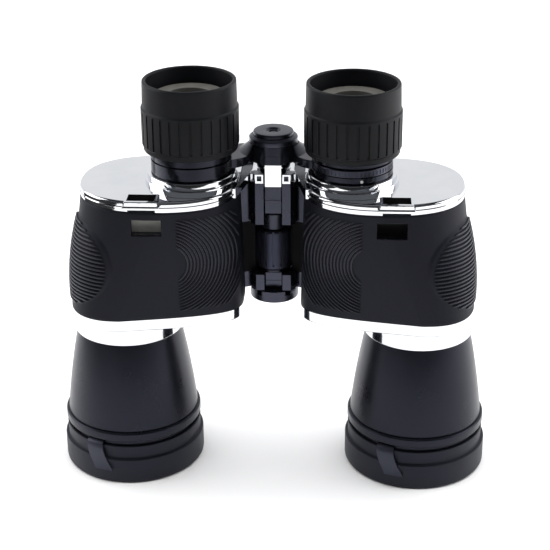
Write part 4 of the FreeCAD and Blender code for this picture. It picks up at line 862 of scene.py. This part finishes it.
COLLAR_BORE_R = 17.0
LOWER_TIER_R = 20.3
LOWER_TIER_Z = 138.4
UPPER_TIER_R = 19.3
UPPER_TIER_Z = 140.8
for side, sign in SIDES.items():
    collar = lathe(
        f"{side}_collar",
        [
            (COLLAR_BORE_R, TOP_Z),
            (COLLAR_SEAT_R, TOP_Z),
            (COLLAR_SEAT_R, COVER_TOP_Z),
            (LOWER_TIER_R, COVER_TOP_Z),
            (LOWER_TIER_R, LOWER_TIER_Z, 0.45),
            (UPPER_TIER_R, LOWER_TIER_Z),
            (UPPER_TIER_R, UPPER_TIER_Z, 0.45),
            (COLLAR_BORE_R, UPPER_TIER_Z, 0.2),
        ],
        CHROME_PLATE,
        x=sign * EYE_X,
    )
    wear(collar, f"{side}_half", f"{side}_eyepiece_collar", slot="chrome_trim")

# ------------------------------------------------------------------------------
# Hinge. A steel tube through both halves' eyes carries, from the bottom up: an enamelled end disc
# with the tripod thread and two key notches, a washer, the focus wheel, a spacer and the chromed
# collar under the bridge.

DISC_Z = (74.7, 80.3)
DISC_R = 11.0
THREAD_R = 2.6
TUBE_SEAT_R = 5.5
TUBE_SEAT_Z = 79.4
NOTCH_X = (5.3, 7.5)
NOTCH_Y = (3.0, 10.4)
NOTCH_Z = (77.8, 80.6)
WHEEL_Z = (90.3, 108.4)
WHEEL_R = 8.6
WHEEL_BORE_R = 5.6
WHEEL_GROOVES = 16
# Across the groove, and the cutter's depth, half of which goes into the wheel.
WHEEL_GROOVE = (0.9, 1.3)
WHEEL_RIM = 1.6
# Turned and enamelled like the housings, a little duller from handling.
HINGE_BLACK = finish_of(
    "turned_black_enamel", "#0f1014", 0.3, worn="#15161a", smudge=0.06, grain=(0.4, 0.008),
    specular_ior_level=0.75, specular_tint=COOL_SHEEN,
)
# Hard black anodising on the ribbed wheel: matt, paler where fingers have rubbed it.
WHEEL_BLACK = finish_of(
    "hard_anodised_wheel_black", "#111214", 0.46, worn="#1c1d20", smudge=0.05, patch=7,
    grain=(0.35, 0.015), specular_ior_level=0.9, specular_tint=srgb("#d0d5ff"),
)


def ring_tree():
    """Blocks of one size in a ring about an upright axis."""
    sizes = {"Count": "Int", "Radius": "Float", "Size": "Vector", "Middle": "Vector"}
    tree, given = tree_of("ring_of_blocks", **sizes, Material="Material")
    index = add(tree, "GeometryNodeInputIndex")
    turn = add(tree, "DIVIDE", add(tree, "MULTIPLY", index, math.tau), given["Count"])
    x = add(tree, "MULTIPLY", add(tree, "COSINE", turn), given["Radius"])
    y = add(tree, "MULTIPLY", add(tree, "SINE", turn), given["Radius"])
    seat = add(tree, "ShaderNodeCombineXYZ", x, y)
    seats = add(tree, "GeometryNodePoints", {"Count": given["Count"], "Position": seat})
    one = add(tree, "GeometryNodeMeshCube", {"Size": given["Size"]})
    facing = add(tree, "ShaderNodeCombineXYZ", {2: turn})
    copies = {"Points": seats, "Instance": one, "Rotation": facing}
    ring = add(tree, "GeometryNodeInstanceOnPoints", copies)
    place = {"Geometry": ring, "Translation": given["Middle"]}
    whole = add(tree, "GeometryNodeRealizeInstances", add(tree, "GeometryNodeTransform", place))
    coat = {"Geometry": whole, "Material": given["Material"]}
    add(tree, "NodeGroupOutput", add(tree, "GeometryNodeSetMaterial", coat))
    return tree


RING = ring_tree()


def ring_of_blocks(count, radius, size, middle, material):
    """Cutters in a ring: how many, how far out, their size and the ring's middle."""
    size, middle = ([v * MM for v in values] for values in (size, middle))
    sizes = {"Count": count, "Radius": radius * MM, "Size": size, "Middle": middle}
    return grown("cutters", RING, Material=material, **sizes)


disc = lathe(
    "hinge_disc",
    [
        (THREAD_R, DISC_Z[0]),
        (DISC_R, DISC_Z[0], 0.7),
        (DISC_R, DISC_Z[1], 0.4),
        (TUBE_SEAT_R, DISC_Z[1]),
        (TUBE_SEAT_R, TUBE_SEAT_Z),
        (THREAD_R, TUBE_SEAT_Z),
    ],
    HINGE_BLACK,
    y=HINGE_Y,
)
notches = (block("notch", NOTCH_X, NOTCH_Y, NOTCH_Z, HINGE_BLACK, sign) for sign in (-1, 1))
joined_with(disc, "DIFFERENCE", *notches)
wear(cleaned(disc), "left_half", "hinge_end_disc", slot="black_paint")

wheel_top = WHEEL_Z[1]
wheel = lathe(
    "ribbed_focus_wheel",
    [
        (WHEEL_BORE_R, WHEEL_Z[0]),
        (WHEEL_R, WHEEL_Z[0], 0.5),
        (WHEEL_R, wheel_top, 0.8),
        (WHEEL_BORE_R, wheel_top),
    ],
    WHEEL_BLACK,
    y=HINGE_Y,
)
groove_tall = wheel_top - WHEEL_Z[0] - WHEEL_RIM + 2
joined_with(
    wheel,
    "DIFFERENCE",
    ring_of_blocks(
        WHEEL_GROOVES,
        WHEEL_R,
        (WHEEL_GROOVE[1], WHEEL_GROOVE[0], groove_tall),
        (0, HINGE_Y, WHEEL_Z[0] + WHEEL_RIM + groove_tall / 2),
        WHEEL_BLACK,
    ),
)
wear(cleaned(wheel), "focus_wheel", "focus_wheel", slot="wheel_metal")
show(HINGE_BLACK, "hinge_washer", "hinge_spacer")
show(SPRING_STEEL, "focus_spindle", "focus_key")
# The steel tube takes the flat black: painted shade where it shows in the hinge.
show(FLAT_SHADE_BLACK, "hinge_tube")
show(CHROME_PLATE, "hinge_collar")

# ------------------------------------------------------------------------------
# Bridge. Two die-cast arms, sprayed gloss black, join the eyepieces to the spindle, which the
# focus wheel lifts. A turned cap with a dished top and a small screw closes the hub.

CAP_DISC_Z = (149.2, 154.0)
CAP_DISC_R = 8.9
HUB_R = 10.75
CAP_STEP_Z = 152.2
DIMPLE_R = 3.4
DIMPLE_Z = 153.2
SCREW_R = 1.9
# Gloss black enamel, baked: deep black with bright, clear-edged highlights on its saddles.
BRIDGE_ENAMEL = finish_of(
    "gloss_black_enamel", "#0c0d10", 0.2, worn="#111215", smudge=0.04, grain=(0.8, 0.008),
    specular_ior_level=0.36, specular_tint=COOL_SHEEN,
)
show(BRIDGE_ENAMEL, "bridge_arm")
bridge_cap = lathe(
    "bridge_cap_disc",
    [
        (SCREW_R, CAP_DISC_Z[0]),
        (HUB_R, CAP_DISC_Z[0], 0.2),
        (HUB_R, CAP_STEP_Z - 0.9, 0.3),
        (HUB_R - 1.1, CAP_STEP_Z, 0.3),
        (CAP_DISC_R, CAP_STEP_Z),
        (CAP_DISC_R, CAP_DISC_Z[1], 0.6),
        (DIMPLE_R, CAP_DISC_Z[1], 0.3),
        (DIMPLE_R - 0.7, DIMPLE_Z, 0.3),
        (SCREW_R, DIMPLE_Z),
    ],
    HINGE_BLACK,
    y=HINGE_Y,
)
wear(bridge_cap, "left_bridge", "bridge_cap", slot="black_paint")
show(HINGE_BLACK, "cap_screw")

# ------------------------------------------------------------------------------
# Eyepieces. Black enamelled tubes that slide in the collars. The left one is fixed to its arm;
# on the right one a dioptre ring with a white index dot turns the ocular up and down its thread.

DIOPTRE_R = 17.4
DIOPTRE_BORE_R = 14.55
DIOPTRE_Z = (143.7, 147.0)
DIOPTRE_GROOVES = 60
# Cutter of one groove: into the ring, across and up.
DIOPTRE_GROOVE = (0.5, 0.6, 1.9)
# The dot is a thin disc let into the tube below the ring, at this bearing from the front.
DOT_TURN = 13.0
DOT_R = 0.65
DOT_BELOW = 1.6
DOT_REACH = (17.3, 17.62)
DOT_POINTS = 20
# White cellulose paint in a drilled dimple.
INDEX_WHITE = finish_of("white_index_paint", "#e8e8e6", 0.45, worn="#dededb", smudge=0.03, patch=2)
show(BRIDGE_ENAMEL, "eyepiece_tube", "ocular_tube")
dioptre = lathe(
    "knurled_dioptre_ring",
    [
        (DIOPTRE_BORE_R, DIOPTRE_Z[0]),
        (DIOPTRE_R, DIOPTRE_Z[0], 0.3),
        (DIOPTRE_R, DIOPTRE_Z[1], 0.4),
        (DIOPTRE_BORE_R, DIOPTRE_Z[1]),
    ],
    HINGE_BLACK,
    x=EYE_X,
)
middle = (EYE_X, 0, sum(DIOPTRE_Z) / 2)
grooves = ring_of_blocks(DIOPTRE_GROOVES, DIOPTRE_R, DIOPTRE_GROOVE, middle, HINGE_BLACK)
joined_with(dioptre, "DIFFERENCE", grooves)
wear(cleaned(dioptre), "dioptre_ring", "dioptre_ring", slot="black_paint")
bearing = math.radians(-90 + DOT_TURN)
points = []
for reach in DOT_REACH:
    for turn in np.linspace(0, math.tau, DOT_POINTS, False):
        aside = bearing + DOT_R * math.cos(turn) / DIOPTRE_R
        up = DIOPTRE_Z[0] - DOT_BELOW + DOT_R * math.sin(turn)
        points.append((EYE_X + reach * math.cos(aside), reach * math.sin(aside), up))
inner, outer = range(DOT_POINTS), range(DOT_POINTS, 2 * DOT_POINTS)
faces = [tuple(inner)[::-1], tuple(outer)]
for i in inner:
    after = (i + 1) % DOT_POINTS
    faces.append((i, after, DOT_POINTS + after, DOT_POINTS + i))
dot = mesh_of("index_dot", points, faces, INDEX_WHITE)
wear(dot, "right_bridge", slot="black_paint")

# ------------------------------------------------------------------------------
# Eyecups. Moulded from soft black rubber over the tubes' sleeves: a plain band at the foot, a
# band of upright grooves round the middle, and a smooth rim that stands above the lens.

CUP_Z = {"left": 150.8, "right": 150.0}
CUP_HIGH = 30.7
CUP_BORE_R = 16.45
CUP_FOOT_R = 20.4
CUP_GRIP_R = 21.0
CUP_RIM_R = 20.1
CUP_WALL = 1.7
CUP_HOLLOW = 8.6
FACE_HOLE_R = 15.55
LIP = 1.2
BAND_Z = (3.0, 18.8)
GROOVES = 30
GROOVE_WIDE = 1.1
GROOVE_DEEP = 0.45
GROOVE_Z = (3.3, 17.8)
# Depth of the cutter, which goes into the cup by GROOVE_DEEP.
GROOVE_CUTTER = 2.0
# The flat ring round the eye lens: radius of its hole and its foot, and depths below the rim.
EYE_HOLE_R = 9.7
EYE_RING_R = 15.5
EYE_FOOT_R = 14.45
EYE_FOOT_DOWN = 12.0
EYE_RING_DOWN = (6.9, 6.6)
# Soft rubber with a finer texture than the armour: dull dark grey-black, paler along worn ribs.
CUP_RUBBER = finish_of(
    "moulded_black_eyecup_rubber", "#0f1013", 0.5, worn="#16171a", smudge=0.05,
    grain=(0.45, 0.015), specular_ior_level=0.22,
)
# Dull paint sprayed on a cast ring: a dark warm grey that doesn't glare inside the cup.
RING_GREY = finish_of(
    "dull_grey_ring_paint", "#504f4b", 0.5, worn="#454440", smudge=0.05, patch=5,
    grain=(0.3, 0.01),
)
for side, sign in SIDES.items():
    foot = CUP_Z[side]
    top = foot + CUP_HIGH
    floor = top - CUP_HOLLOW
    cup = lathe(
        f"{side}_cup",
        [
            (CUP_BORE_R, foot),
            (CUP_FOOT_R, foot, 0.8),
            (CUP_FOOT_R, foot + BAND_Z[0] - 0.6, 0.3),
            (CUP_GRIP_R, foot + BAND_Z[0], 0.3),
            (CUP_GRIP_R, foot + BAND_Z[1], 0.3),
            (CUP_FOOT_R, foot + BAND_Z[1] + 0.6, 0.3),
            (CUP_RIM_R, top, CUP_WALL / 2 - 0.05),
            (CUP_RIM_R - CUP_WALL, top, CUP_WALL / 2 - 0.05),
            (CUP_RIM_R - CUP_WALL, floor, 0.5),
            (FACE_HOLE_R, floor),
            (FACE_HOLE_R, floor - LIP),
            (CUP_BORE_R, floor - LIP),
        ],
        CUP_RUBBER,
        x=sign * EYE_X,
        segments=192,
    )
    joined_with(
        cup,
        "DIFFERENCE",
        ring_of_blocks(
            GROOVES,
            CUP_GRIP_R + GROOVE_CUTTER / 2 - GROOVE_DEEP,
            (GROOVE_CUTTER, GROOVE_WIDE, GROOVE_Z[1] - GROOVE_Z[0]),
            (sign * EYE_X, 0, foot + sum(GROOVE_Z) / 2),
            CUP_RUBBER,
        ),
    )
    cup_body = {"left": "left_bridge", "right": "right_ocular"}[side]
    wear(cleaned(cup, 50), cup_body, f"{side}_eyecup", slot="soft_rubber")
    ring = lathe(
        f"{side}_face_ring",
        [
            (EYE_HOLE_R, top - EYE_FOOT_DOWN),
            (EYE_FOOT_R, top - EYE_FOOT_DOWN),
            (EYE_FOOT_R, floor - LIP),
            (EYE_RING_R, floor - LIP),
            (EYE_RING_R, top - EYE_RING_DOWN[1], 0.3),
            (EYE_HOLE_R, top - EYE_RING_DOWN[0], 0.3),
        ],
        RING_GREY,
        x=sign * EYE_X,
    )
    wear(ring, cup_body, f"{side}_eye_ring", slot="black_metal")
show(COATED_GLASS, "eye_lens", "field_lens")

# ------------------------------------------------------------------------------
# Studio. A pale painted floor in a room with white sides, a pale back, a dark front with a grey
# window in it and a grey ceiling. Three soft lights, two black cards, and the camera in front.

scene = bpy.context.scene
scene.view_settings.view_transform = "Standard"


def sheet(name, corners, material):
    """A flat piece of the studio, through four corners."""
    made = mesh_of(name, corners, [(0, 1, 2, 3)], material)
    return made


FLOOR_HALF = 1600
# Matt emulsion, rolled: white, with a fine stipple.
FLOOR_PAINT = finish_of(
    "white_floor_emulsion", "#fbfbfb", 0.8, worn="#f7f7f7", smudge=0.05, patch=400,
    grain=(2, 0.01),
)
turns = ((-1, -1), (1, -1), (1, 1), (-1, 1))
sheet("floor", [(FLOOR_HALF * x, FLOOR_HALF * y, 0) for x, y in turns], FLOOR_PAINT)
# Black velvet on card, with a nap that shows no shine. Only chrome and gloss see the cards, which
# keep neither light nor shadow.
CARD_BLACK = finish_of(
    "black_velvet_card", "#0a0a0b", 0.9, worn="#101011", patch=60, grain=(3, 0.05)
)
for name, corners in (
    ("left_floor_card", [(-900, -420, 1), (-300, -420, 1), (-360, 300, 1), (-900, 300, 1)]),
    ("front_floor_card", [(-2000, -2500, 1), (2000, -2500, 1), (2000, -430, 1), (-2000, -430, 1)]),
):
    card = sheet(name, corners, CARD_BLACK)
    card.visible_camera = card.visible_diffuse = card.visible_shadow = False

world = bpy.data.worlds.new("white_room")
world.use_nodes = True
scene.world = world
room = world.node_tree
# Where a ray goes: across the room, towards the front, and up.
way = add(room, "ShaderNodeSeparateXYZ", add(room, "ShaderNodeTexCoord").outputs["Generated"])
front = add(room, "MULTIPLY", way.outputs["Y"], -1.0)
aside = add(room, "ABSOLUTE", way.outputs["X"])
height = way.outputs["Z"]
# A dark room, and what stands out in it: a grey window in front, a grey ceiling, the pale wall
# behind, and white side walls up to a picture rail. Each shows where all of its soft steps, from
# none to full, are passed. The dark front gives chrome its edges.
walls = srgb("#1c1c20")
for color, *steps in (
    ("#606266", (height, 0.22, 0.3), (height, 0.62, 0.52), (front, 0.2, 0.5)),
    ("#74767a", (height, 0.86, 0.97)),
    ("#f0f1f3", (front, 0.12, -0.12), (height, 0.85, 0.6), (aside, 0.85, 0.6)),
    ("#f3f5ff", (aside, 0.5, 0.66), (front, 0.3, 0.0), (height, 0.4, 0.28)),
):
    share = 1.0
    for value, low, high in steps:
        ends = {"Value": value, "From Min": low, "From Max": high}
        step = add(room, "ShaderNodeMapRange", ends, interpolation_type="SMOOTHSTEP")
        share = add(room, "MULTIPLY", share, step)
    colors = {0: share, 6: walls, 7: srgb(color)}
    walls = add(room, "ShaderNodeMix", colors, data_type="RGBA").outputs[2]
# The camera itself sees plain white.
colors = {0: add(room, "ShaderNodeLightPath").outputs["Is Camera Ray"], 6: walls, 7: (1, 1, 1, 1)}
shown = add(room, "ShaderNodeMix", colors, data_type="RGBA").outputs[2]
room.links.new(shown, room.nodes["Background"].inputs["Color"])

# Rectangular lights: place and size in metres, power in watts, and whether chrome mirrors them.
# The top one it doesn't, as if it hung above a diffuser.
LIGHT_AIM = Vector((0, 0, 0.1))
for name, place, wide, tall, power, mirrored in (
    ("top_light", (0.0, 0.1, 1.3), 2.0, 1.6, 34, False),
    ("left_light", (-1.3, 0.1, 0.6), 1.2, 1.1, 10, True),
    ("right_light", (1.3, 0.1, 0.6), 1.2, 1.1, 10, True),
):
    light = bpy.data.lights.new(name, "AREA")
    light.shape = "RECTANGLE"
    light.size = wide
    light.size_y = tall
    light.energy = power
    lamp = bpy.data.objects.new(name, light)
    lamp.location = place
    lamp.rotation_euler = (LIGHT_AIM - Vector(place)).to_track_quat("-Z", "Y").to_euler()
    lamp.visible_glossy = mirrored
    scene.collection.objects.link(lamp)

# The camera stands above and in front, in metres, and looks down at the collars in degrees.
CAMERA_PLACE = (0.0325, -0.5949, 0.36284)
CAMERA_TURN = (65.451, 0.368, 2.859)
camera_data = bpy.data.cameras.new("camera")
camera_data.lens = 95.85
camera_data.sensor_width = 36
camera = bpy.data.objects.new("camera", camera_data)
camera.location = CAMERA_PLACE
camera.rotation_euler = [math.radians(angle) for angle in CAMERA_TURN]
scene.collection.objects.link(camera)
scene.camera = camera
